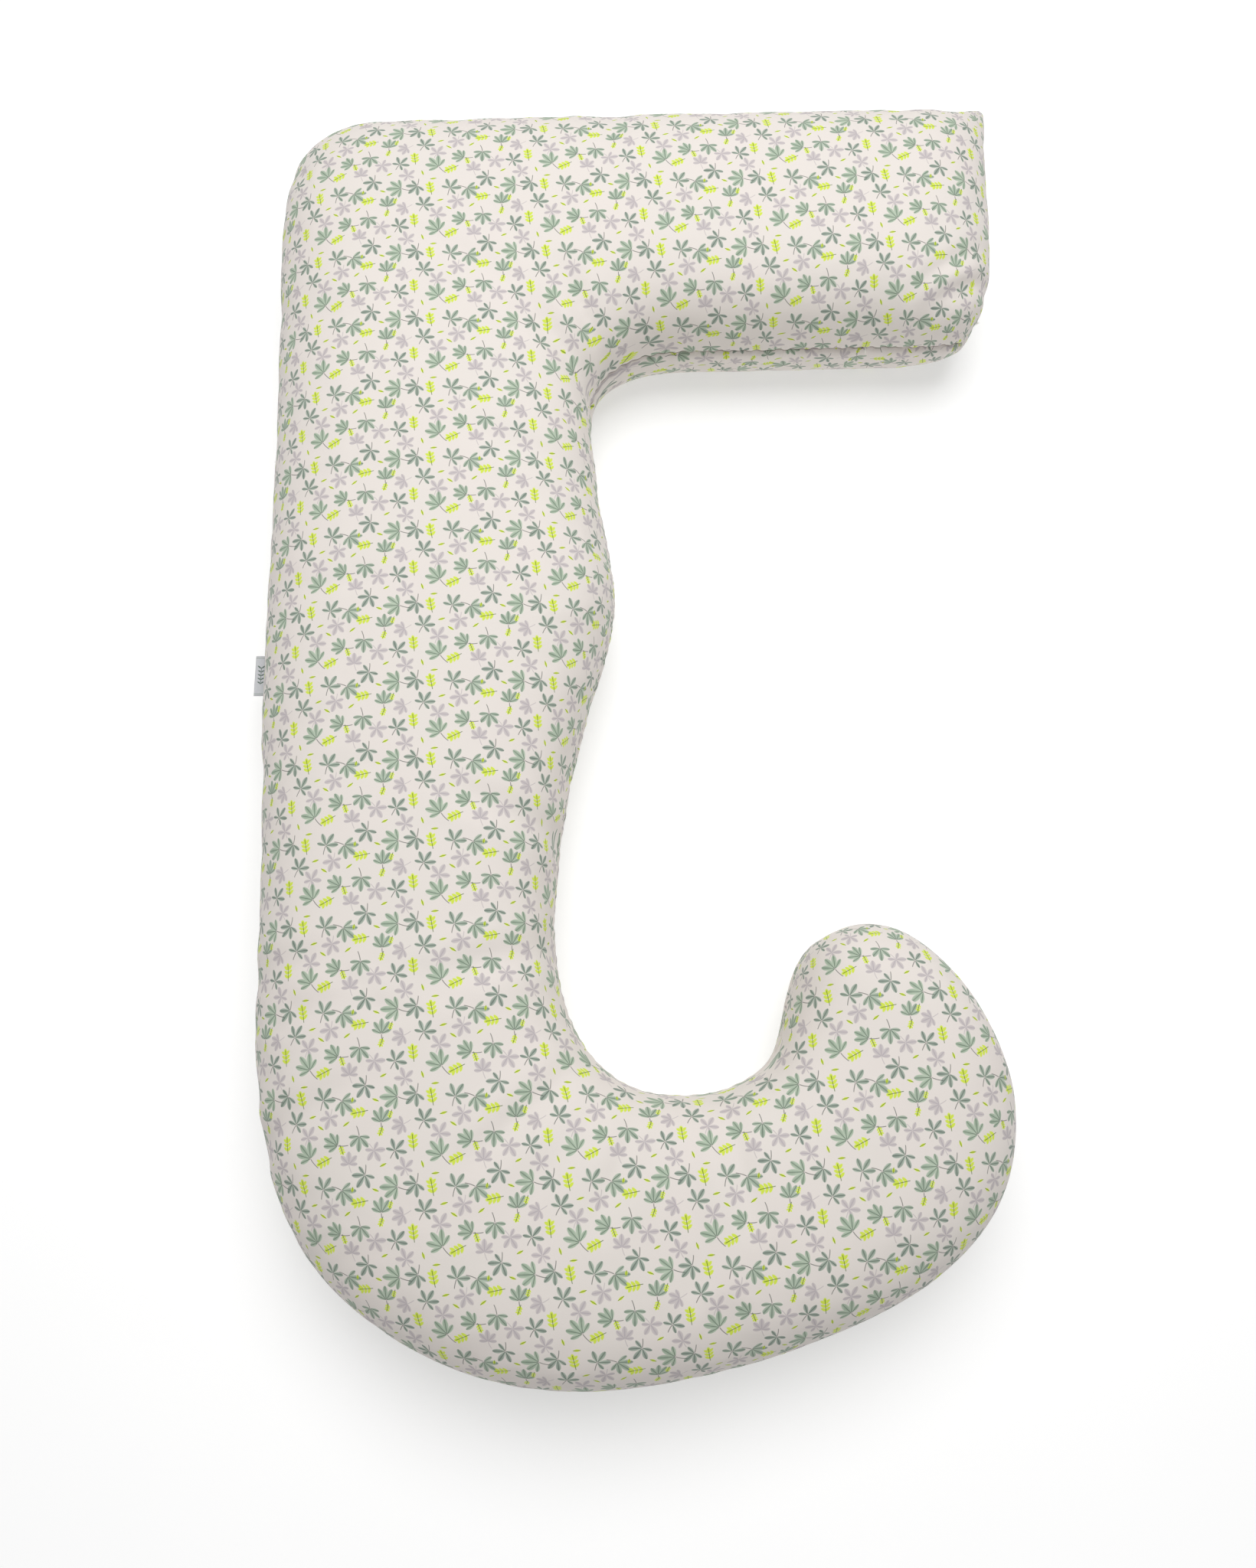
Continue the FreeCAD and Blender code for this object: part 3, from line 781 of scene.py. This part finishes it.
# Palmate leaves: where the leaflets meet, the middle leaflet's angle, the angle between leaflets,
# the longest leaflet, the stem's angle, and the tone from 0, sage, to 1, grey-green.
UPPER_LEAVES = [
    (13.4, 61.5, 180, 38, 13, -28, 0.0),
    (63, 60, 55, 54, 10.5, 245, 0.7),
    (115.3, 40.5, 90, 33, 11, 270, 0.2),
    (51.6, 11.3, 130, 36, 13, -60, 0.0),
    (77.1, 21.8, 152, 30, 11.5, -10, 0.1),
    (96.2, 29.3, 268, 42, 11, 95, 0.4),
]
LOWER_LEAVES = [
    (80.2, 59.5, 318, 40, 12, 150, 0.3),
    (29.7, 63.8, 225, 47, 10.5, 70, 0.9),
    (101.2, 72, 235, 54, 10.5, 75, 1.0),
    (36.1, 40.5, 57, 54, 10, 230, 0.9),
    (11.3, 16.5, 48, 59, 9.5, 230, 1.0),
]
PALE_LEAVES = [
    (19.8, 1.5, 110, 66, 8.5, 290, 0),
    (70, 45.8, 250, 60, 9, 70, 0),
    (18.4, 38.3, 200, 42, 9, 20, 0),
    (49.5, 29.3, 60, 66, 9, 240, 0),
    (109, 17.3, 300, 62, 9, 120, 0),
    (87, 6, 90, 44, 9, 280, 0),
]
# Lime sprigs and small lime leaves: the middle, the angle and the length.
SPRIGS = [
    (43.2, 60, 100, 13),
    (96.9, 49.5, 190, 13),
    (26.9, 22.5, 96, 13),
    (65.1, 9, 205, 13),
    (115.3, 33.5, 250, 7.5),
    (80.5, 18.6, 290, 7.5),
    (7.5, 47.5, 250, 6),
]
DASHES = [
    (46, 71.7, 5, 7),
    (53.1, 46.5, 15, 7),
    (110.4, 59.3, -22, 6.5),
    (84.9, 39.8, 35, 7),
    (61.6, 37.2, -33, 7),
    (35, 4.5, 108, 6.5),
    (1, 4.8, 25, 6.5),
    (90, 60, 80, 5),
]


def in_radians(motifs):
    """The palmate leaves with their angles in radians."""
    return [
        (x, y, math.radians(middle), math.radians(spacing), reach, math.radians(stem), tone)
        for x, y, middle, spacing, reach, stem, tone in motifs
    ]


def nearest_motif(nodes, place, motifs):
    """The distance to the nearest motif, its own place, and its numbers."""
    best, local, facts, more = 1000.0, (0.0, 0.0, 0.0), (0.0, 0.0, 0.0), (0.0, 0.0, 0.0)
    half = (REPEAT[0] / 2, REPEAT[1] / 2, 1000)
    for x, y, *numbers in motifs:
        away = nodes.vector("SUBTRACT", place, (x, y, 0))
        away = nodes.vector("WRAP", away, half, tuple(-side for side in half))
        far = nodes.vector("LENGTH", away)
        closer = nodes.math("LESS_THAN", far, best)
        best = nodes.math("MINIMUM", far, best)
        numbers = [*numbers, 0, 0, 0, 0][:6]
        local = nodes.pick(closer, local, away)
        facts = nodes.pick(closer, facts, tuple(numbers[:3]))
        more = nodes.pick(closer, more, tuple(numbers[3:6]))
    return best, local, nodes.split(facts), nodes.split(more)


def leaf_stem(nodes, local, stem_angle, reach):
    """A mask of a thin bent stem from the leaf's heart."""
    stalk = nodes.split(nodes.turned(local, nodes.times(stem_angle, -1)))
    bend = nodes.math("MULTIPLY_ADD", nodes.times(stalk[0], stalk[0]), -0.02, stalk[1])
    thin = nodes.inside(nodes.minus(0.36, nodes.size(bend)), 0.4)
    start = nodes.inside(stalk[0], 0.5)
    stop = nodes.inside(nodes.minus(nodes.times(reach, 0.8), stalk[0]), 0.8)
    return nodes.times(thin, nodes.times(start, stop))


def palmate(nodes, place, motifs, slim):
    """The nearest palmate leaf: masks of its leaflets, ribs and stem, its tone, the share of the way
    from a rib to the leaflet's edge, the share along the leaflet, and the distance from its heart."""
    far, local, facts, more = nearest_motif(nodes, place, in_radians(motifs))
    middle, spacing, reach = facts
    stem_angle, tone, _ = more
    x, y, _ = nodes.split(local)
    angle = nodes.minus(nodes.math("ARCTAN2", y, x), middle)
    angle = nodes.math("WRAP", angle, math.pi, -math.pi)
    leaflet = nodes.math("ROUND", nodes.math("DIVIDE", angle, spacing))
    leaflet = nodes.math("MAXIMUM", nodes.math("MINIMUM", leaflet, 2), -2)
    angle = nodes.minus(angle, nodes.times(leaflet, spacing))
    along = nodes.times(far, nodes.math("COSINE", angle))
    side = nodes.size(nodes.times(far, nodes.math("SINE", angle)))
    shorter = nodes.math("MULTIPLY_ADD", nodes.times(leaflet, leaflet), -0.09, LEAF_SCALE)
    length = nodes.times(reach, shorter)
    share = nodes.math("DIVIDE", along, length, clamp=True)
    rise = nodes.math("POWER", share, 1.5)
    width = nodes.math("POWER", nodes.times(rise, nodes.minus(1, share)), 0.7)
    half_width = nodes.times(nodes.times(width, length), slim)
    leaf = nodes.inside(nodes.minus(half_width, side), 0.6)
    leaf = nodes.times(leaf, nodes.inside(nodes.minus(0.98, share), 0.03))
    leaf = nodes.times(leaf, nodes.inside(nodes.minus(share, 0.02), 0.03))
    across = nodes.math("DIVIDE", side, nodes.math("MAXIMUM", half_width, 0.05), clamp=True)
    thinning = nodes.math("MULTIPLY_ADD", share, -0.2, 0.3)
    rib = nodes.inside(nodes.minus(thinning, side), 0.35)
    in_length = nodes.inside(nodes.minus(0.92, share), 0.1)
    rib = nodes.times(rib, nodes.times(in_length, nodes.inside(along, 0.4)))
    stem = leaf_stem(nodes, local, stem_angle, reach)
    return leaf, rib, stem, tone, across, share, far


def small_motif(nodes, place, motifs):
    """The nearest small motif's own coordinates, along it and across it, and its length."""
    turned = [(x, y, math.radians(angle), length) for x, y, angle, length in motifs]
    _, local, facts, _ = nearest_motif(nodes, place, turned)
    own = nodes.split(nodes.turned(local, nodes.times(facts[0], -1)))
    return own[0], own[1], facts[1]


def ellipse(nodes, x, y, half_x, half_y):
    """A mask of the ellipse about the origin."""
    x = nodes.math("DIVIDE", x, half_x)
    y = nodes.math("DIVIDE", y, half_y)
    size = nodes.math("ADD", nodes.times(x, x), nodes.times(y, y))
    return nodes.inside(nodes.minus(1, size), 0.7)


def sprig(nodes, place):
    """Leaf and stem masks of the nearest lime sprig: pairs of round leaves and one at the end."""
    along, across, length = small_motif(nodes, place, SPRIGS)
    step = nodes.times(length, 0.27)
    pair = nodes.math("ROUND", nodes.minus(nodes.math("DIVIDE", along, step), 0.3))
    pair = nodes.math("MAXIMUM", nodes.math("MINIMUM", pair, 1), -1)
    x = nodes.minus(along, nodes.times(pair, step))
    side = nodes.size(across)
    lean_x = nodes.math("MULTIPLY_ADD", side, -0.55, x)
    lean_y = nodes.math("MULTIPLY_ADD", step, -0.52, side)
    oval_x = nodes.times(step, 0.46)
    oval = ellipse(nodes, lean_x, lean_y, oval_x, nodes.times(step, 0.7))
    tip_x = nodes.math("MULTIPLY_ADD", step, -1.75, along)
    tip = ellipse(nodes, tip_x, side, nodes.times(step, 0.7), nodes.times(step, 0.45))
    leaf = nodes.math("MAXIMUM", oval, tip)
    thin = nodes.inside(nodes.minus(0.32, side), 0.4)
    reach = nodes.inside(
        nodes.minus(nodes.times(length, 0.55), nodes.size(along)), 0.6
    )
    return leaf, nodes.times(thin, reach)


def dash(nodes, place):
    """Leaf and rib masks of the nearest small lime leaf."""
    along, across, length = small_motif(nodes, place, DASHES)
    half_length = nodes.times(length, 0.5)
    share = nodes.math("DIVIDE", nodes.size(along), half_length, clamp=True)
    half = nodes.times(nodes.minus(1, nodes.math("POWER", share, 1.6)), 1.15)
    side = nodes.size(across)
    leaf = nodes.inside(nodes.minus(half, side), 0.5)
    leaf = nodes.times(leaf, nodes.inside(nodes.minus(0.98, share), 0.03))
    rib = nodes.times(leaf, nodes.inside(nodes.minus(0.28, side), 0.3))
    return leaf, rib


CLOTH = srgb(225, 216, 211)
CLOTH_COOL = srgb(221, 216, 209)
SEAM_SHADE = srgb(172, 164, 160)
SAGE = srgb(128, 150, 128)
SAGE_PALE = srgb(190, 204, 184)
GREY_GREEN = srgb(108, 124, 114)
GREY_PALE = srgb(176, 188, 174)
STALK = srgb(52, 64, 58)
LILAC = srgb(176, 168, 172)
LIME = srgb(204, 222, 62)
LIME_DARK = srgb(84, 112, 40)


def leaf_print(nodes, place):
    """The cloth's colour: leaves printed over each other, the palest first."""
    wash = nodes.noise(place, 0.12, 4.0)
    colour = nodes.colour(nodes.noise(place, 0.012), CLOTH, CLOTH_COOL)
    leaf, rib, stem, _, across, _, _ = palmate(nodes, place, PALE_LEAVES, 0.72)
    ink = nodes.math("MULTIPLY_ADD", nodes.minus(1, across), 0.35, 0.45)
    ink = nodes.times(leaf, nodes.math("ADD", ink, nodes.times(rib, 0.3)))
    ink = nodes.math("MAXIMUM", ink, nodes.times(stem, 0.6))
    colour = nodes.colour(ink, colour, LILAC)
    for motifs in (LOWER_LEAVES, UPPER_LEAVES):
        leaf, rib, stem, tone, across, share, far = palmate(nodes, place, motifs, 0.58)
        dark = nodes.colour(tone, SAGE, GREY_GREEN)
        light = nodes.colour(tone, SAGE_PALE, GREY_PALE)
        pale = nodes.math("MULTIPLY_ADD", across, 0.7, nodes.math("MULTIPLY_ADD", share, -0.35, 0.0))
        pale = nodes.math("ADD", pale, nodes.times(wash, 0.6), clamp=True)
        blade = nodes.colour(pale, dark, light)
        colour = nodes.colour(nodes.times(leaf, 0.94), colour, blade)
        line = nodes.math("MAXIMUM", nodes.times(rib, 0.65), nodes.times(stem, 0.75))
        colour = nodes.colour(line, colour, STALK)
        heart = nodes.inside(nodes.minus(0.7, far), 0.8)
        colour = nodes.colour(nodes.times(heart, 0.6), colour, CLOTH)
    for leaf, rib in (dash(nodes, place), sprig(nodes, place)):
        colour = nodes.colour(nodes.times(leaf, 0.95), colour, LIME)
        colour = nodes.colour(nodes.times(rib, 0.9), colour, LIME_DARK)
    return colour


def object_place(nodes):
    """The place in the frame, in millimetres."""
    place = nodes.vector("SCALE", nodes.add("ShaderNodeTexCoord").outputs["Object"])
    place.node.inputs["Scale"].default_value = 1000
    return place


def weave(nodes, place, pitch, depth):
    """Bump of a plain weave with threads of that pitch in millimetres, with thicker ones here and there."""
    fine = nodes.vector("SCALE", place)
    fine.node.inputs["Scale"].default_value = 2 * math.pi / pitch
    x, y, _ = nodes.split(fine)
    cross = nodes.times(nodes.math("SINE", x), nodes.math("SINE", y))
    slub = nodes.noise(place, 0.8, 3.0)
    height = nodes.math("ADD", nodes.times(cross, 0.4), slub)
    return nodes.bump(height, 0.5, depth)


def cloth_place(nodes, turn=0.0):
    """The place on the flat cloth, in millimetres."""
    source = nodes.add("ShaderNodeUVMap", uv_map=CUT_MAP)
    place = nodes.vector("SCALE", source.outputs[0])
    place.node.inputs["Scale"].default_value = 1000
    return nodes.turned(place, turn)


def seam_line(nodes):
    """How far into the seam's shadow a place lies, and the height of the small folds beside it."""
    place = object_place(nodes)
    _, _, z = nodes.split(place)
    far = nodes.size(nodes.minus(z, SEAM / MM))
    line = nodes.inside(nodes.minus(0.8, far), 0.8)
    shade = nodes.minus(1, nodes.math("DIVIDE", far, 6), clamp=True)
    shade = nodes.times(nodes.times(shade, shade), 0.45)
    near = nodes.minus(1, nodes.math("DIVIDE", far, 20), clamp=True)
    folds = nodes.noise(nodes.vector("MULTIPLY", place, (1, 1, 0.12)), 0.15, 2.0)
    height = nodes.times(folds, nodes.times(near, near))
    return nodes.math("MAXIMUM", line, shade), height


def printed_cotton():
    """The cover's cotton: the leaf print with painted shade along the seam, on a fine weave."""
    nodes = Nodes("printed_cotton")
    place = cloth_place(nodes, -PRINT_TURN)
    # line: painted shade, a dark line in the seam and a soft painted shadow beside it; folds: the puckers'
    # bump.
    line, folds = seam_line(nodes)
    return nodes.finish(
        Base_Color=nodes.colour(line, leaf_print(nodes, place), SEAM_SHADE, "MULTIPLY"),
        Normal=nodes.bump(folds, 0.9, 0.003, weave(nodes, place, 0.6, 0.0001)),
        Roughness=0.82,
        Specular_IOR_Level=0.3,
        Sheen_Weight=0.12,
        Sheen_Roughness=0.5,
    )


def plain_cloth(name, light, dark, pitch, roughness):
    """White or dyed plain-woven cloth: threads, slubs and a slight unevenness of tone."""
    nodes = Nodes(name)
    place = object_place(nodes)
    tone = nodes.noise(place, 0.05, 4.0)
    return nodes.finish(
        Base_Color=nodes.colour(tone, dark, light),
        Normal=weave(nodes, place, pitch, 0.0002),
        Roughness=roughness,
        Sheen_Weight=0.15,
    )


def fibre():
    """Polyester fibre filling: a white tangle of crimped fibres."""
    nodes = Nodes("fibre_tangle")
    place = object_place(nodes)
    curl = nodes.noise(place, 0.35, 6.0)
    return nodes.finish(
        Base_Color=nodes.colour(curl, srgb(214, 214, 212), srgb(250, 250, 248)),
        Normal=nodes.bump(curl, 0.9, 0.002),
        Roughness=0.95,
        Sheen_Weight=0.4,
    )


def zip_tape_cloth():
    """Tightly woven polyester tape, ribbed across its length."""
    nodes = Nodes("woven_tape")
    place = object_place(nodes)
    x, _, z = nodes.split(place)
    rib = nodes.math("SINE", nodes.times(x, 2 * math.pi / 0.7))
    twill = nodes.math("SINE", nodes.times(nodes.math("ADD", x, z), 2 * math.pi / 1.1))
    height = nodes.math("MULTIPLY_ADD", rib, 0.6, twill)
    cloud = nodes.math("MULTIPLY_ADD", nodes.noise(place, 0.2), 0.6, 0.2)
    shade = nodes.math("MULTIPLY_ADD", twill, 0.15, cloud)
    return nodes.finish(
        Base_Color=nodes.colour(shade, srgb(214, 212, 204), srgb(238, 236, 230)),
        Normal=nodes.bump(height, 0.6, 0.0001),
        Roughness=0.7,
        Sheen_Weight=0.2,
    )


def nylon():
    """Off-white nylon wire, a little clearer in places, with a soft gloss."""
    nodes = Nodes("nylon_wire")
    tone = nodes.noise(object_place(nodes), 0.7, 3.0)
    return nodes.finish(
        Base_Color=nodes.colour(tone, srgb(222, 220, 210), srgb(240, 238, 232)),
        Roughness=nodes.math("MULTIPLY_ADD", tone, 0.2, 0.3),
        Subsurface_Weight=0.1,
        Subsurface_Scale=0.0005,
    )


def enamel():
    """White-enamelled zinc: glossy paint with a light orange-peel, worn on its edges and scuffed."""
    nodes = Nodes("white_enamel")
    place = object_place(nodes)
    wear = nodes.add("ShaderNodeNewGeometry").outputs["Pointiness"]
    wear = nodes.math("MULTIPLY_ADD", nodes.noise(place, 1.4, 4.0), 0.25, wear)
    bare = nodes.inside(nodes.minus(wear, 0.8), 0.05)
    paint = nodes.colour(nodes.noise(place, 0.3), srgb(228, 226, 218), srgb(240, 239, 234))
    return nodes.finish(
        Base_Color=nodes.colour(bare, paint, srgb(176, 176, 178)),
        Metallic=bare,
        Roughness=nodes.math("MULTIPLY_ADD", nodes.noise(place, 2.0), 0.2, 0.22),
        Normal=nodes.bump(nodes.noise(place, 0.9), 0.3, 0.0001),
    )


def label_satin():
    """A woven satin label: pale grey ground, fine cross ribs, a border line and a small leaf sprig."""
    nodes = Nodes("woven_label")
    low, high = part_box("side_label")
    middle = (low + high) / 2
    place = nodes.vector("SUBTRACT", object_place(nodes), tuple(middle * 1000))
    x, y, _ = nodes.split(place)
    rib = nodes.math("SINE", nodes.times(y, 2 * math.pi / 0.35))
    warp = nodes.math("SINE", nodes.times(x, 2 * math.pi / 0.5))
    cloud = nodes.math("MULTIPLY_ADD", nodes.noise(place, 0.5), 0.8, 0.1)
    ground = nodes.colour(cloud, srgb(186, 187, 191), srgb(206, 207, 211))
    edge = nodes.minus((high.y - low.y) * 500 - 2.2, nodes.size(y))
    line = nodes.inside(nodes.minus(0.35, nodes.size(edge)), 0.2)
    colour = nodes.colour(line, ground, srgb(150, 160, 152))
    side = nodes.size(nodes.math("ADD", x, 0.8))
    thin = nodes.inside(nodes.minus(0.3, side), 0.2)
    reach = nodes.inside(nodes.minus(9, nodes.size(y)), 0.3)
    twig = nodes.times(thin, reach)
    pair = nodes.math("ROUND", nodes.math("DIVIDE", y, 4))
    pair = nodes.math("MAXIMUM", nodes.math("MINIMUM", pair, 2), -2)
    leaf_y = nodes.minus(y, nodes.times(pair, 4))
    leaf_y = nodes.math("MULTIPLY_ADD", side, -0.7, leaf_y)
    leaf = ellipse(nodes, nodes.minus(side, 2), leaf_y, 1.8, 0.9)
    return nodes.finish(
        Base_Color=nodes.colour(nodes.math("MAXIMUM", twig, leaf), colour, srgb(84, 104, 92)),
        Normal=nodes.bump(nodes.math("MULTIPLY_ADD", rib, 0.7, warp), 0.5, 0.00006),
        Roughness=0.5,
        Sheen_Weight=0.2,
    )


# ---------------------------------------------------------------- the stage


def add_camera():
    """Looks down on the pillow from a little below its foot."""
    lens = bpy.data.cameras.new("camera")
    lens.lens = CAMERA_LENS
    camera = bpy.data.objects.new("camera", lens)
    camera.location = CAMERA_PLACE
    camera.rotation_euler = (CAMERA_TILT, 0, 0)
    bpy.context.scene.collection.objects.link(camera)
    bpy.context.scene.camera = camera


def add_area(name, place, target, size, power):
    lamp = bpy.data.lights.new(name, "AREA")
    lamp.shape = "DISK"
    lamp.size = size
    lamp.energy = power
    light = bpy.data.objects.new(name, lamp)
    light.location = place
    light.rotation_euler = (Vector(target) - Vector(place)).to_track_quat("-Z", "Y").to_euler()
    bpy.context.scene.collection.objects.link(light)


def add_stage():
    """The pale floor, the even light of the room and two soft lamps."""
    nodes = Nodes("studio_floor")
    place = nodes.add("ShaderNodeTexCoord").outputs["Object"]
    tint = nodes.colour(nodes.noise(place, 3.0), srgb(214, 214, 214), srgb(218, 218, 218))
    pale = nodes.finish(
        Base_Color=tint, Emission_Color=(1, 1, 1, 1), Emission_Strength=0.38, Roughness=0.9
    )
    corners = [(x * FLOOR_REACH, y * FLOOR_REACH, 0) for x, y in ((-1, -1), (1, -1), (1, 1), (-1, 1))]
    floor = new_object("floor", mesh_from("floor", corners, [(0, 1, 2, 3)]))
    floor.data.materials.append(pale)
    world = bpy.data.worlds.new("studio")
    world.use_nodes = True
    world.node_tree.nodes["Background"].inputs["Color"].default_value = (1, 1, 1, 1)
    world.node_tree.nodes["Background"].inputs["Strength"].default_value = 0.36
    bpy.context.scene.world = world
    bpy.context.scene.view_settings.view_transform = "Standard"
    add_area("overhead", (0.1, 0.75, 2.5), (0, 0.05, 0), 2.0, 55)
    add_area("front", (0.2, -1.4, 2.2), (0, 0, 0), 1.8, 2)


def place_piece(piece, body, slot, material, *replaced):
    """Finishes a new piece: its material, the CAD nodes it stands for and its body; the slot is not used.
    """
    piece.data.materials.clear()
    piece.data.materials.append(material)
    if replaced:
        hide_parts(*replaced)
    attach(piece, body)
    return piece


def repaint(node, material):
    """Gives a kept CAD node its finished material and softened edges."""
    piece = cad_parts[node]
    piece.data.materials.clear()
    piece.data.materials.append(material)
    soft = piece.modifiers.new("soft edges", "BEVEL")
    soft.width = 0.2 * MM
    soft.segments = 2
    soft.limit_method = "ANGLE"
    soft.harden_normals = False


def add_cover(body):
    cotton = printed_cotton()
    covers = {}
    for part in ("front", "back"):
        panel = cover_panel(body, f"cover_{part}", part == "front")
        place_piece(panel, "pillow", "cover_cotton", cotton, f"cover_{part}_panel")
        covers[part] = panel
    return covers


def add_inside(body):
    casing = plain_cloth("casing_cotton_weave", srgb(248, 247, 243), srgb(232, 231, 226), 0.7, 0.9)
    for part, half in (("front", "upper"), ("back", "lower")):
        layer = inner_layer(body, f"casing_{part}", CASING_DEPTH, half)
        place_piece(layer, "pillow", "casing_cotton", casing, f"inner_casing_{part}")
    filling = inner_layer(body, "filling", FILLING_DEPTH, "whole")
    place_piece(filling, "pillow", "polyester_fibre", fibre(), "fibre_fill")


def add_zip(covers):
    tape, wire, metal = zip_tape_cloth(), nylon(), enamel()
    thread = plain_cloth("sewing_thread", srgb(244, 242, 236), srgb(228, 226, 220), 0.3, 0.6)
    for part, side in (("front", 1), ("back", -1)):
        place_piece(zip_tape(f"tape_{part}", side), "pillow", "zip_tape", tape, f"zip_tape_{part}")
        place_piece(zip_coil(f"coil_{part}", side), "pillow", "zip_nylon", wire, f"zip_coil_{part}")
        place_piece(zip_stitches(f"zip_stitches_{part}", covers[part]), "pillow", "cover_cotton", thread)
    for node in ("zip_slider", "zip_pull_tab", "zip_top_stops", "zip_bottom_stop"):
        repaint(node, metal)


def add_labels():
    place_piece(side_label(), "side_label", "label_satin", label_satin(), "side_label")
    satin = plain_cloth("blank_satin", srgb(244, 244, 242), srgb(230, 230, 228), 0.4, 0.45)
    place_piece(care_label(), "pillow", "care_satin", satin, "care_label")


def main():
    add_camera()
    add_stage()
    body, seam = even_body()
    swell(body, seam)
    set_points(body.data, fold_in(get_points(body.data), get_normals(body.data), FOLDS))
    covers = add_cover(body)
    add_inside(body)
    bpy.data.objects.remove(body)
    add_zip(covers)
    add_labels()


main()
